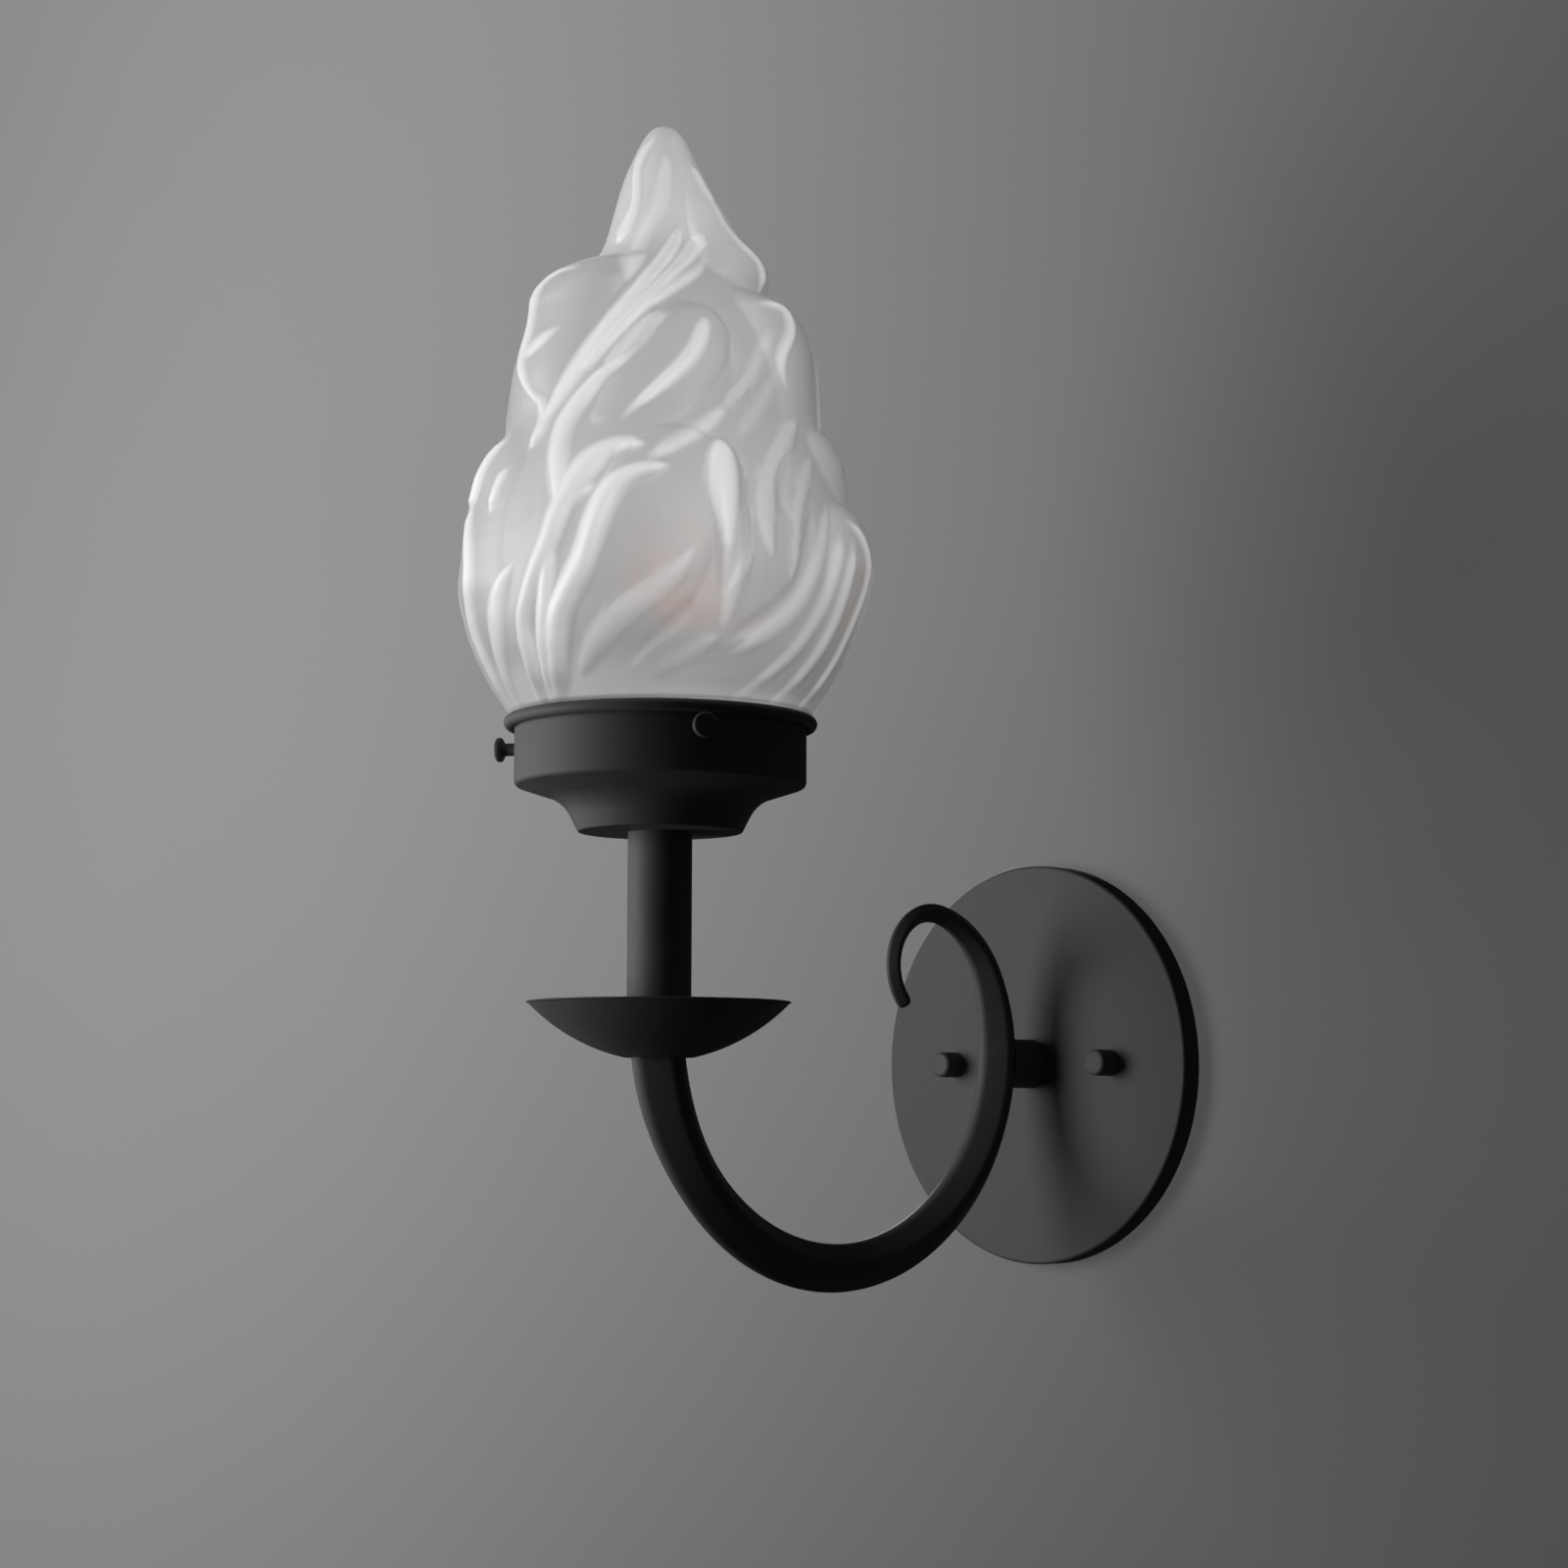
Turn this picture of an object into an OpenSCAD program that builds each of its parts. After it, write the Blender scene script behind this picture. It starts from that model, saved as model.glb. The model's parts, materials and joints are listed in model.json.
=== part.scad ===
// Torch wall sconce: backplate, scroll arm, drip dish, stem, shade holder, flame shade and lamp.
// The origin is the centre of the backplate on the wall. The wall is the plane y = 0, the light
// stands out of it towards -Y, and +Z is up. Millimetres.

/* [Backplate] */
// Diameter of the round backplate
plate_d = 133.4; // [120:0.1:150]
// Depth of the pan, from the wall to its front face
plate_depth = 7.5; // [7:0.1:10]
// Thickness of the pan's sheet
plate_wall = 1.5; // [1:0.1:1.8]
// Rounding of the pan's front edge
plate_edge_r = 1.1; // [0.4:0.1:1.4]
// Distance between the two cap nuts
nut_spacing = 69.85; // [60:0.05:80]
// Diameter of a cap nut
nut_d = 8.6; // [7:0.1:11]
// Length of a cap nut
nut_l = 8; // [6:0.1:12]
// Diameter of the studs that carry the cap nuts
stud_d = 4.16; // [3.5:0.01:5]
// Diameter of the short post between the plate and the arm
knuckle_d = 16.3; // [14:0.1:20]
// Distance from the plate's front to the arm's centreline
knuckle_l = 16.7; // [13:0.1:30]

/* [Crossbar] */
// Length of the mounting strap behind the plate
bar_l = 108; // [106:0.5:116]
// Width of the strap
bar_w = 16; // [15:0.1:20]
// Thickness of the strap
bar_t = 1.6; // [1.2:0.1:1.8]
// Distance between the two slots for the wall box screws
slot_spacing = 88.9; // [88:0.1:90]
// Width of a slot
slot_w = 4.4; // [4:0.1:5]
// Length of a slot, end to end
slot_l = 12; // [8:0.1:13]
// Diameter of the strap's middle hole
bar_hole_d = 13; // [12:0.1:13.5]
// Distance of the ground screw from the middle
ground_x = 19.5; // [19:0.1:22]

/* [Arm] */
// Lean of the arm from the vertical at the post, in degrees from level
arm_heading = 86; // [80:0.5:90]
// Radius of the big sweep under the dish
sweep_r = 75.6; // [60:0.1:90]
// Angle that the big sweep turns through
sweep_a = 126.6; // [115:0.1:135]
// Radius of the rise past the post
rise_r = 67; // [55:0.1:80]
// Angle of the rise below the post
rise_low_a = 41.1; // [35:0.1:45]
// Angle of the rise above the post
rise_top_a = 23.5; // [15:0.1:30]
// Radius where the curl tightens
bend_r = 33.2; // [28:0.1:40]
// Angle of the tightening bend
bend_a = 55.5; // [45:0.1:65]
// Radius of the curl
curl_r = 17.4; // [15:0.1:20]
// Angle of the curl
curl_a = 146.5; // [110:0.1:155]
// Side of the square bar under the dish
side_top = 15.7; // [14:0.1:17]
// Side of the bar along the sweep
side_mid = 13.1; // [12:0.1:14]
// Side of the bar at the post
side_post = 12.2; // [11.8:0.1:13]
// Side of the bar at the end of the curl
side_tip = 4.7; // [4:0.1:6]
// Corner radius as a share of the bar's side
corner_share = 0.27; // [0.15:0.01:0.35]
// Diameter of the wire channel in the arm
channel_d = 6.4; // [5.6:0.1:6.6]

/* [Dish and stem] */
// Diameter of the drip dish over its rim
dish_d = 79.6; // [70:0.1:90]
// Height of the drip dish
dish_h = 16.8; // [12:0.1:22]
// Diameter of the dish's flat bottom
dish_flat_d = 21; // [20.5:0.1:26]
// Radius of the dish's side, seen from the side
dish_bow_r = 58; // [48:0.5:90]
// Thickness of the dish
dish_wall = 0.9; // [0.7:0.1:1.3]
// Diameter of the stem tube
stem_d = 19.4; // [17:0.1:22]
// Thickness of the stem tube
stem_wall = 1.5; // [1:0.1:2]
// Length of the stem tube
stem_l = 66.7; // [45:0.1:90]

/* [Shade holder] */
// Diameter of the holder's flat bottom
base_d = 49.6; // [46:0.1:54]
// Height of the steep foot of the holder
foot_h = 9.2; // [8:0.1:12]
// Diameter where the foot meets the slope
waist_d = 58.8; // [56:0.1:66]
// Height of the straight skirt's lower corner
corner_h = 14; // [13:0.1:18]
// Outer diameter of the straight skirt
skirt_d = 88.3; // [86.5:0.1:92]
// Height of the middle of the rolled lip
lip_h = 32.8; // [30:0.1:38]
// Radius of the lip's roll
lip_r = 1.9; // [1.4:0.1:2.2]
// How far the middle of the roll stands out of the skirt
lip_out = 1.35; // [1:0.05:1.6]
// Thickness of the holder
holder_wall = 1; // [0.8:0.1:1.3]
// Height of the thumb screws above the holder's bottom
screw_h = 26.4; // [22:0.1:28]
// Direction of the first thumb screw, in degrees from +X
screw_a = -26; // [-60:1:60]
// Diameter of a thumb screw's shank
screw_d = 3.9; // [3.2:0.1:4.2]
// Diameter of a thumb screw's head
head_d = 7.5; // [6:0.1:9]
// Thickness of a thumb screw's head
head_l = 1.9; // [1.6:0.1:3.5]
// Distance from the skirt to a thumb screw's head
head_gap = 6; // [3.4:0.1:8]

/* [Flame shade] */
// Outer diameter of the shade's neck
neck_d = 80; // [78:0.1:82]
// Thickness of the glass
glass_wall = 3; // [2.2:0.1:3.6]
// Height of the flame's tip above the holder's lip
flame_h = 186.9; // [160:0.1:200]
// Radius of the flame's body, between its tongues, at its widest
flame_r = 58.2; // [54:0.1:62]
// How far the longest tongue stands out of the body
tongue_h = 9.6; // [2:0.1:11]

/* [Lamp and socket] */
// Outer diameter of the socket's brass shell
shell_d = 34.2; // [33.6:0.1:37]
// Length of the socket's brass shell
shell_l = 41; // [39.5:0.1:46]
// Outer diameter of the lamp's screw base
base_screw_d = 26; // [25.6:0.05:26.1]
// Largest diameter of the lamp's glass
lamp_d = 47; // [40:0.5:50]
// Length of the lamp from its contact to its top
lamp_l = 88; // [80:0.5:96]
// Outer diameter of the threaded rod and of the nipple
thread_d = 9.52; // [9.2:0.01:9.8]
// Bore of the threaded rod and of the nipple
thread_bore_d = 6.4; // [5.4:0.1:6.8]
// Diameter of a supply wire over its insulation
wire_d = 2; // [1.6:0.1:2.2]

/* [Hidden] */
// Clearance around a shaft or a thread, on the radius
fit_gap = 0.05;
// Clearance of a bolt in a plain hole, on the radius
hole_gap = 0.3;
// Amount by which a cut passes the surface that it opens
past = 0.5;
$fn = 96;
small_fn = 48;
bead_fn = 24;

black_paint = [0.09, 0.09, 0.095];
zinc = [0.72, 0.73, 0.74];
brass = [0.78, 0.6, 0.28];
copper = [0.72, 0.42, 0.26];
glass_white = [0.9, 0.91, 0.92, 0.85];

// ---- Heights out of the wall ----
pan_depth = plate_depth - plate_wall;
stud_nut_t = 2.4;
stud_nut_af = 8;
stud_l = plate_depth + nut_l * 0.7;
nut_bore_l = nut_l * 0.8;
nut_edge_r = 1.3;
lug_t = 0.8;
washer_t = 0.8;
washer_r = 8.5;
locknut_t = 2.4;
locknut_af = 14.3;
nipple_start = pan_depth - lug_t - washer_t - locknut_t;
nipple_end = plate_depth + knuckle_l - 2.2;
ground_head_af = 6.4;
ground_head_t = 2;
ground_shank_r = 1.7;
arm_y = -(plate_depth + knuckle_l);

// ---- Arm's centreline: arcs that follow each other, in the plane x = 0 ----
// Each bend is [radius, angle]; a state is [y, z, heading].
swing = [[sweep_r, sweep_a], [rise_r, rise_low_a]];
curl = [[rise_r, rise_top_a], [bend_r, bend_a], [curl_r, curl_a]];
ring_step = 3;

// State after turning left through the angle a on the radius r
function turned(s, r, a) = [
    s[0] + r * (sin(s[2] + a) - sin(s[2])),
    s[1] + r * (cos(s[2]) - cos(s[2] + a)),
    s[2] + a
];
// State after the first n bends of a list
function after(s, bends, n) = n == 0 ? s :
    let (b = bends[n - 1]) turned(after(s, bends, n - 1), b[0], b[1]);
function bend_len(b) = b[0] * b[1] * PI / 180;
function len_before(bends, n) = n == 0 ? 0 : len_before(bends, n - 1) + bend_len(bends[n - 1]);
// States along a list of bends, with the length travelled as a fourth value
function walk(s, bends) = [
    for (k = [0 : len(bends) - 1])
        let (from = after(s, bends, k), b = bends[k], steps = max(4, round(bend_len(b) / ring_step)))
            for (j = [0 : steps - (k == len(bends) - 1 ? 0 : 1)])
                let (t = turned(from, b[0], b[1] * j / steps))
                    [t[0], t[1], t[2], len_before(bends, k) + bend_len(b) * j / steps]
];

// The swing is walked from the dish, so its start is shifted to let its end meet the post
swing_heading = arm_heading - sweep_a - rise_low_a;
swing_end = after([0, 0, swing_heading], swing, len(swing));
torch_y = arm_y - swing_end[0];
torch_z = -swing_end[1];
swing_l = len_before(swing, len(swing));
swing_path = walk([torch_y, torch_z, swing_heading], swing);
curl_path = walk([arm_y, 0, arm_heading], curl);
curl_l = len_before(curl, len(curl));
arm_path = concat(
    swing_path,
    [for (i = [1 : len(curl_path) - 1]) let (c = curl_path[i]) [c[0], c[1], c[2], swing_l + c[3]]]
);

// ---- Arm's section: a square bar on edge with rounded corners ----
top_taper_l = 48;
curl_taper_l = 76;
function smooth(t) = let (c = min(1, max(0, t))) c * c * (3 - 2 * c);
function bar_side(l) = l < swing_l
    ? side_top + (side_mid - side_top) * smooth(l / top_taper_l)
        + (side_post - side_mid) * smooth((l - top_taper_l) / (swing_l - top_taper_l))
    : side_post + (side_tip - side_post) * smooth((l - swing_l) / curl_taper_l);
corner_pts = 4;
ring_pts = 4 * corner_pts;
// Point i of the bar's outline, as [along x, along the in-plane normal]
function bar_point(i, side) =
    let (q = floor(i / corner_pts), r = side * corner_share, c = (side / 2 - r) * sqrt(2),
         a = 90 * q - 45 + 90 * (i % corner_pts) / (corner_pts - 1))
        [c * cos(90 * q) + r * cos(a), c * sin(90 * q) + r * sin(a)];
function round_point(i, r, n) = let (a = 360 * i / n - 45) [r * cos(a), r * sin(a)];
// A point of the ring at state s, with v across the bar
function on_ring(s, v) = [v[0], s[0] - sin(s[2]) * v[1], s[1] + cos(s[2]) * v[1]];
// The first ring lies level, so that the dish sits flat on it
function on_top(s, v) =
    let (p = on_ring(s, v), d = (s[1] - p[2]) / sin(s[2])) [p[0], p[1] + d * cos(s[2]), s[1]];

// ---- Torch, as heights above its base plane at torch_z ----
rod_below = 11;
rod_above = 12.5;
stem_z = dish_wall;
holder_z = stem_z + stem_l;
holder_floor = holder_z + holder_wall;
holder_washer_t = 1;
holder_washer_r = 9.5;
holder_nut_t = 3;
cap_z = holder_floor + holder_washer_t + holder_nut_t + 1;
cap_h = 18;
cap_neck_h = 5;
cap_neck_r = 7;
cap_wall = 0.8;
cap_lap = 6;
shell_r = shell_d / 2;
shell_wall = 0.6;
shell_z = cap_z + cap_h - cap_lap;
liner_wall = 0.9;
liner_inset = 2;
liner_z = shell_z + 1.5;
body_z = shell_z + 2.5;
body_h = 11;
body_r = shell_r - shell_wall - liner_wall - 2 * fit_gap;
screw_shell_wall = 0.45;
thread_gap = 0.3;
contact_z = body_z + body_h;
contact_h = 2.5;
lamp_z = contact_z + contact_h;
shell_top = shell_z + shell_l;
screw_shell_l = shell_top - contact_z - 3;

// Lamp, as heights above its contact
lamp_base_r = base_screw_d / 2;
tip_h = 2;
insulator_h = 3.2;
lamp_base_h = 25;
collar_lap = 6;
thread_depth = 0.5;
lamp_base_wall = 0.4;
lamp_neck_r = lamp_base_r - thread_depth - lamp_base_wall - fit_gap;
lamp_glass_wall = 0.8;
lamp_r = lamp_d / 2;
ball_z = lamp_l - lamp_r;
stick_count = 4;
stick_r = 1;
stick_ring_r = 5.5;
stick_bottom = 36;
stick_l = 34;
spider_r = 0.4;

// Shade, as heights above the torch's base plane
skirt_r = skirt_d / 2;
skirt_in_r = skirt_r - holder_wall;
lip_z = holder_z + lip_h;
neck_r = neck_d / 2;
slope = (corner_h - foot_h) / ((skirt_d - waist_d) / 2);
seat_gap = 0.4;
seat_z = holder_z + corner_h - slope * (skirt_r - neck_r) + holder_wall * sqrt(1 + slope * slope);
neck_z = seat_z + seat_gap;
lip_gap = 0.6;
shoulder_z = lip_z + lip_r + lip_gap;
tip_z = lip_z + flame_h;
screw_tip_gap = 0.8;

// ---- Places ----
// Children are drawn with +Z pointing out of the wall, starting at the height h over it
module out_of_wall(h = 0) translate([0, -h, 0]) rotate([90, 0, 0]) children();
// Children are drawn on the torch's axis, starting at the height h over its base plane
module on_torch(h = 0) translate([0, torch_y, torch_z + h]) children();
// Children are drawn with +Z pointing outwards at the thumb screw k
module screw_turn(k) rotate([0, 0, screw_a - 120 * k]) rotate([0, 90, 0]) children();
module at_screw(k) on_torch(holder_z + screw_h) screw_turn(k) children();

// ---- Plain shapes ----
module small_cylinder(r, h) cylinder(r = r, h = h, $fn = small_fn);
module small_circle(r) circle(r = r, $fn = small_fn);
module tube(ro, ri, h) difference() {
    cylinder(r = ro, h = h);
    translate([0, 0, -past]) cylinder(r = ri, h = h + 2 * past);
}
module hex_nut(af, ri, h) difference() {
    cylinder(r = af / 2 / cos(30), h = h, $fn = 6);
    translate([0, 0, -past]) small_cylinder(ri, h + 2 * past);
}
// Points of the arc that rounds the corner b between a and c
function unit(v) = v / norm(v);
function rounded(a, b, c, r, n = 5) =
    let (u = unit(a - b), v = unit(c - b), half = acos(u * v) / 2, d = r / tan(half),
         middle = b + unit(u + v) * r / sin(half), from = b + u * d - middle, to = b + v * d - middle,
         a0 = atan2(from[1], from[0]), turn = ((atan2(to[1], to[0]) - a0 + 540) % 360) - 180)
        [for (i = [0 : n]) middle + r * [cos(a0 + turn * i / n), sin(a0 + turn * i / n)]];
// The corner b of a path moved to its left by w
function left_of(a, b) = let (d = unit(b - a)) [-d[1], d[0]];
function inset(a, b, c, w) = let (m = left_of(a, b), n = left_of(b, c)) b + w * (m + n) / (1 + m * n);
// Points of an arc about c, from the angle a to the angle b
function at_angle(r, a) = r * [cos(a), sin(a)];
function arc(c, r, a, b, n) = [for (i = [0 : n]) c + at_angle(r, a + (b - a) * i / n)];

// Children are drawn at both studs
module at_studs() for (side = [-1, 1]) translate([side * nut_spacing / 2, 0, 0]) children();
// A w by h block with its outer upper corner rounded
module soft_block(w, h, r) {
    square([w - r, h]);
    square([w, h - r]);
    translate([w - r, h - r]) small_circle(r);
}

// ---- Wall side ----
module backplate() color(black_paint) out_of_wall() difference() {
    rotate_extrude() difference() {
        soft_block(plate_d / 2, plate_depth, plate_edge_r);
        translate([-past, -past]) square([plate_d / 2 - plate_wall + past, pan_depth + past]);
    }
    cylinder(r = thread_d / 2 + hole_gap, h = plate_depth + past);
    at_studs() small_cylinder(stud_d / 2 + hole_gap, plate_depth + past);
}

module crossbar() color(zinc) out_of_wall() difference() {
    cut_h = bar_t + 2 * past;
    slot_run = slot_l - slot_w;
    translate([-bar_l / 2, -bar_w / 2, 0]) cube([bar_l, bar_w, bar_t]);
    translate([0, 0, -past]) {
        cylinder(r = bar_hole_d / 2, h = cut_h);
        at_studs() small_cylinder(stud_d / 2 + fit_gap, cut_h);
        for (side = [-1, 1]) translate([side * slot_spacing / 2, 0, 0]) {
            for (end = [-1, 1]) translate([end * slot_run / 2, 0, 0]) small_cylinder(slot_w / 2, cut_h);
            translate([-slot_run / 2, -slot_w / 2, 0]) cube([slot_run, slot_w, cut_h]);
        }
        translate([-ground_x, 0, 0]) small_cylinder(ground_shank_r + fit_gap, cut_h);
    }
}

module canopy_studs() color(zinc) out_of_wall() at_studs() small_cylinder(stud_d / 2, stud_l);
module stud_nuts() color(zinc) out_of_wall(bar_t) at_studs()
    hex_nut(stud_nut_af, stud_d / 2 + fit_gap, stud_nut_t);

module cap_nut(side) color(black_paint) out_of_wall(plate_depth) translate([side * nut_spacing / 2, 0, 0])
    rotate_extrude($fn = small_fn) difference() {
        soft_block(nut_d / 2, nut_l, nut_edge_r);
        translate([-past, -past]) square([stud_d / 2 + fit_gap + past, nut_bore_l + past]);
    }

module arm_nipple() color(zinc) out_of_wall(nipple_start)
    tube(thread_d / 2, thread_bore_d / 2, nipple_end - nipple_start);
module nipple_washer() color(zinc) out_of_wall(pan_depth - lug_t - washer_t)
    tube(washer_r, thread_d / 2 + fit_gap, washer_t);
module nipple_locknut() color(zinc) out_of_wall(nipple_start)
    hex_nut(locknut_af, thread_d / 2 + fit_gap, locknut_t);

module ground_screw() color("green") out_of_wall() translate([-ground_x, 0, 0]) {
    small_cylinder(ground_shank_r, bar_t + lug_t);
    translate([0, 0, bar_t + lug_t])
        cylinder(r = ground_head_af / 2 / cos(30), h = ground_head_t, $fn = 6);
}

// One strip of copper: a ring round the nipple, a bend down to the strap, and a ring under the screw
strap_w = 3.2;
big_ring_r = washer_r - 0.5;
small_ring_r = 3.1;
module ground_strap() color(copper) out_of_wall() {
    high = [-(washer_r + 2), pan_depth - lug_t];
    low = [-(ground_x - small_ring_r - 1), bar_t];
    from = [-(big_ring_r - 1), high[1]];
    to = [-(ground_x - small_ring_r + 1), low[1]];
    up = [0, lug_t];
    translate([0, 0, high[1]]) tube(big_ring_r, thread_d / 2 + hole_gap, lug_t);
    translate([-ground_x, 0, low[1]]) tube(small_ring_r, ground_shank_r + fit_gap, lug_t);
    rotate([90, 0, 0]) linear_extrude(height = strap_w, center = true)
        polygon([from, high, low, to, to + up,
            inset(high, low, to, -lug_t), inset(from, high, low, -lug_t), from + up]);
}

// The post is hollowed out to saddle the bar, which bends there on the radius of the rise
saddle_gap = 0.1;
module knuckle() color(black_paint) difference() {
    out_of_wall(plate_depth) difference() {
        cylinder(r = knuckle_d / 2, h = knuckle_l);
        translate([0, 0, -past]) cylinder(r = thread_d / 2 + fit_gap, h = knuckle_l + 2 * past);
    }
    translate([0, arm_y - rise_r * sin(arm_heading), rise_r * cos(arm_heading)])
        rotate([0, 90, 0]) rotate_extrude($fn = 180) translate([rise_r, 0]) rotate(45)
            square(bar_side(swing_l) + 2 * saddle_gap, center = true);
}

// ---- Arm ----
arm_top = [for (i = [0 : ring_pts - 1]) on_top(arm_path[0], bar_point(i, bar_side(0)))];
channel_past_post = 4;
socket_clear = 0.5;
channel_path = [for (s = arm_path) if (s[3] < swing_l + channel_past_post) s];
module scroll_arm() color(black_paint) {
    m = ring_pts;
    outer = [for (k = [1 : len(arm_path) - 1], i = [0 : m - 1])
        on_ring(arm_path[k], bar_point(i, bar_side(arm_path[k][3])))];
    inner_top = [for (i = [0 : m - 1]) on_top(channel_path[0], round_point(i, channel_d / 2, m))];
    inner = [for (k = [1 : len(channel_path) - 1], i = [0 : m - 1])
        on_ring(channel_path[k], round_point(i, channel_d / 2, m))];
    n_out = len(arm_path);
    n_in = len(channel_path);
    first_in = n_out * m;
    sides = [for (k = [0 : n_out - 2], i = [0 : m - 1]) let (j = (i + 1) % m)
        [k * m + i, k * m + j, (k + 1) * m + j, (k + 1) * m + i]];
    channel = [for (k = [0 : n_in - 2], i = [0 : m - 1]) let (j = (i + 1) % m, low = first_in + k * m)
        [low + j, low + i, low + m + i, low + m + j]];
    rim = [for (i = [0 : m - 1]) let (j = (i + 1) % m) [j, i, first_in + i, first_in + j]];
    tip = [[for (i = [0 : m - 1]) (n_out - 1) * m + i]];
    blind = [[for (i = [m - 1 : -1 : 0]) first_in + (n_in - 1) * m + i]];
    difference() {
        polyhedron(points = concat(arm_top, outer, inner_top, inner),
            faces = concat(sides, channel, rim, tip, blind), convexity = 8);
        on_torch(-rod_below - socket_clear)
            cylinder(r = thread_d / 2 + fit_gap, h = rod_below + socket_clear + past);
        out_of_wall(plate_depth)
            cylinder(r = thread_d / 2 + fit_gap, h = nipple_end - plate_depth + hole_gap);
    }
}

// A supply wire: down the stem, along the arm's channel, and round a turn into the nipple
wire_turn_r = 5;
wire_top = body_z;
wire_sides = 8;
wire_side_gap = 0.1;
wire_turn_from = acos((rise_r * cos(arm_heading) + wire_turn_r) / (rise_r + wire_turn_r));
wire_bends = [
    swing[0],
    [rise_r, rise_low_a - (arm_heading - wire_turn_from)],
    [-wire_turn_r, -wire_turn_from]
];
module supply_wire(side, tint) color(tint) {
    drop = [for (h = [wire_top, holder_z, stem_l / 2, 0, 2 - rod_below]) [torch_y, torch_z + h, -90]];
    run = [for (s = walk([torch_y, torch_z, swing_heading], wire_bends)) if (s[3] > rod_below + 1) s];
    states = concat(drop, run, [[-(nipple_start + 1), 0, 0]]);
    m = wire_sides;
    n = len(states);
    across = side * (wire_d + wire_side_gap) / 2;
    points = [for (s = states, i = [0 : m - 1])
        on_ring(s, round_point(i, wire_d / 2, m) + [across, 0])];
    sides = [for (k = [0 : n - 2], i = [0 : m - 1]) let (j = (i + 1) % m)
        [k * m + i, k * m + j, (k + 1) * m + j, (k + 1) * m + i]];
    ends = [[for (i = [m - 1 : -1 : 0]) i], [for (i = [0 : m - 1]) (n - 1) * m + i]];
    polyhedron(points = points, faces = concat(sides, ends), convexity = 8);
}

// ---- Torch ----
module drip_dish() color(black_paint) on_torch() rotate_extrude() {
    low = [dish_flat_d / 2, 0];
    high = [dish_d / 2, dish_h];
    half = norm(high - low) / 2;
    along = unit(high - low);
    c = (low + high) / 2 + sqrt(dish_bow_r * dish_bow_r - half * half) * [-along[1], along[0]];
    r_in = dish_bow_r - dish_wall;
    // The inner side is an arc about the same middle, between the floor and the rim
    a_floor = -asin((c[1] - dish_wall) / r_in);
    a_rim = -asin((c[1] - dish_h) / r_in);
    a_low = atan2(low[1] - c[1], low[0] - c[0]);
    a_high = atan2(high[1] - c[1], high[0] - c[0]);
    outer = arc(c, dish_bow_r, a_low, a_high, 14);
    inner = arc(c, r_in, a_rim, a_floor, 14);
    polygon(concat([[thread_d / 2 + hole_gap, 0]], outer, inner, [[thread_d / 2 + hole_gap, dish_wall]]));
}

module stem_tube() color(black_paint) on_torch(stem_z) tube(stem_d / 2, stem_d / 2 - stem_wall, stem_l);
module torch_rod() color(zinc) on_torch(-rod_below)
    tube(thread_d / 2, thread_bore_d / 2, rod_below + holder_floor + rod_above);

module shade_holder() color(black_paint) on_torch(holder_z) difference() {
    hole_r = thread_d / 2 + hole_gap;
    foot_round = 0.8;
    cove_r = 12;
    knee_r = 1.6;
    w = holder_wall;
    base = [base_d / 2, 0];
    waist = [waist_d / 2, foot_h];
    knee = [skirt_r, corner_h];
    top = [skirt_r, lip_h];
    start = [hole_r, 0];
    base_in = inset(start, base, waist, w);
    waist_in = inset(base, waist, knee, w);
    knee_in = inset(waist, knee, top, w);
    start_in = [hole_r, w];
    top_in = [skirt_in_r, lip_h];
    union() {
        rotate_extrude() polygon(concat(
            [start], rounded(start, base, waist, foot_round), rounded(base, waist, knee, cove_r),
            rounded(waist, knee, top, knee_r), [top, top_in],
            rounded(top_in, knee_in, waist_in, knee_r - w), rounded(knee_in, waist_in, base_in, cove_r + w),
            [base_in, start_in]));
        translate([0, 0, lip_h]) rotate_extrude() translate([skirt_r + lip_out, 0]) small_circle(lip_r);
    }
    for (k = [0 : 2]) translate([0, 0, screw_h]) screw_turn(k)
        translate([0, 0, skirt_in_r - past]) small_cylinder(screw_d / 2 + fit_gap, holder_wall + 2 * past);
}

module holder_washer() color(zinc) on_torch(holder_floor)
    tube(holder_washer_r, thread_d / 2 + fit_gap, holder_washer_t);
module holder_locknut() color(zinc) on_torch(holder_floor + holder_washer_t)
    hex_nut(locknut_af, thread_d / 2 + fit_gap, holder_nut_t);

module thumb_screw(k) color(black_paint) at_screw(k) {
    tip = neck_r + screw_tip_gap;
    head = skirt_r + head_gap;
    edge = 0.8;
    translate([0, 0, tip]) small_cylinder(screw_d / 2, head - tip);
    translate([0, 0, head]) rotate_extrude($fn = small_fn) {
        translate([0, edge]) square([head_d / 2, head_l - 2 * edge]);
        square([head_d / 2 - edge, head_l]);
        for (z = [edge, head_l - edge]) translate([head_d / 2 - edge, z]) small_circle(edge);
    }
}

// ---- Socket ----
module socket_cap() color(brass) on_torch(cap_z) rotate_extrude() {
    cap_r = shell_r + fit_gap + cap_wall;
    dome_h = cap_h - cap_lap - cap_neck_h;
    dome_w = cap_r - cap_neck_r;
    in_r = cap_neck_r - cap_wall;
    in_z = cap_neck_h + cap_wall;
    bore = thread_d / 2 + fit_gap;
    // A quarter of an ellipse leads from the neck to the straight wall
    steps = [0 : 9 : 90];
    outer = [for (a = steps) [cap_neck_r + dome_w * sin(a), cap_neck_h + dome_h * (1 - cos(a))]];
    inner = [for (a = [90 : -9 : 0]) [in_r + dome_w * sin(a), in_z + (dome_h - cap_wall) * (1 - cos(a))]];
    polygon(concat([[bore, 0], [cap_neck_r, 0]], outer, [[cap_r, cap_h], [cap_r - cap_wall, cap_h]], inner,
        [[bore, in_z]]));
}
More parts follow.
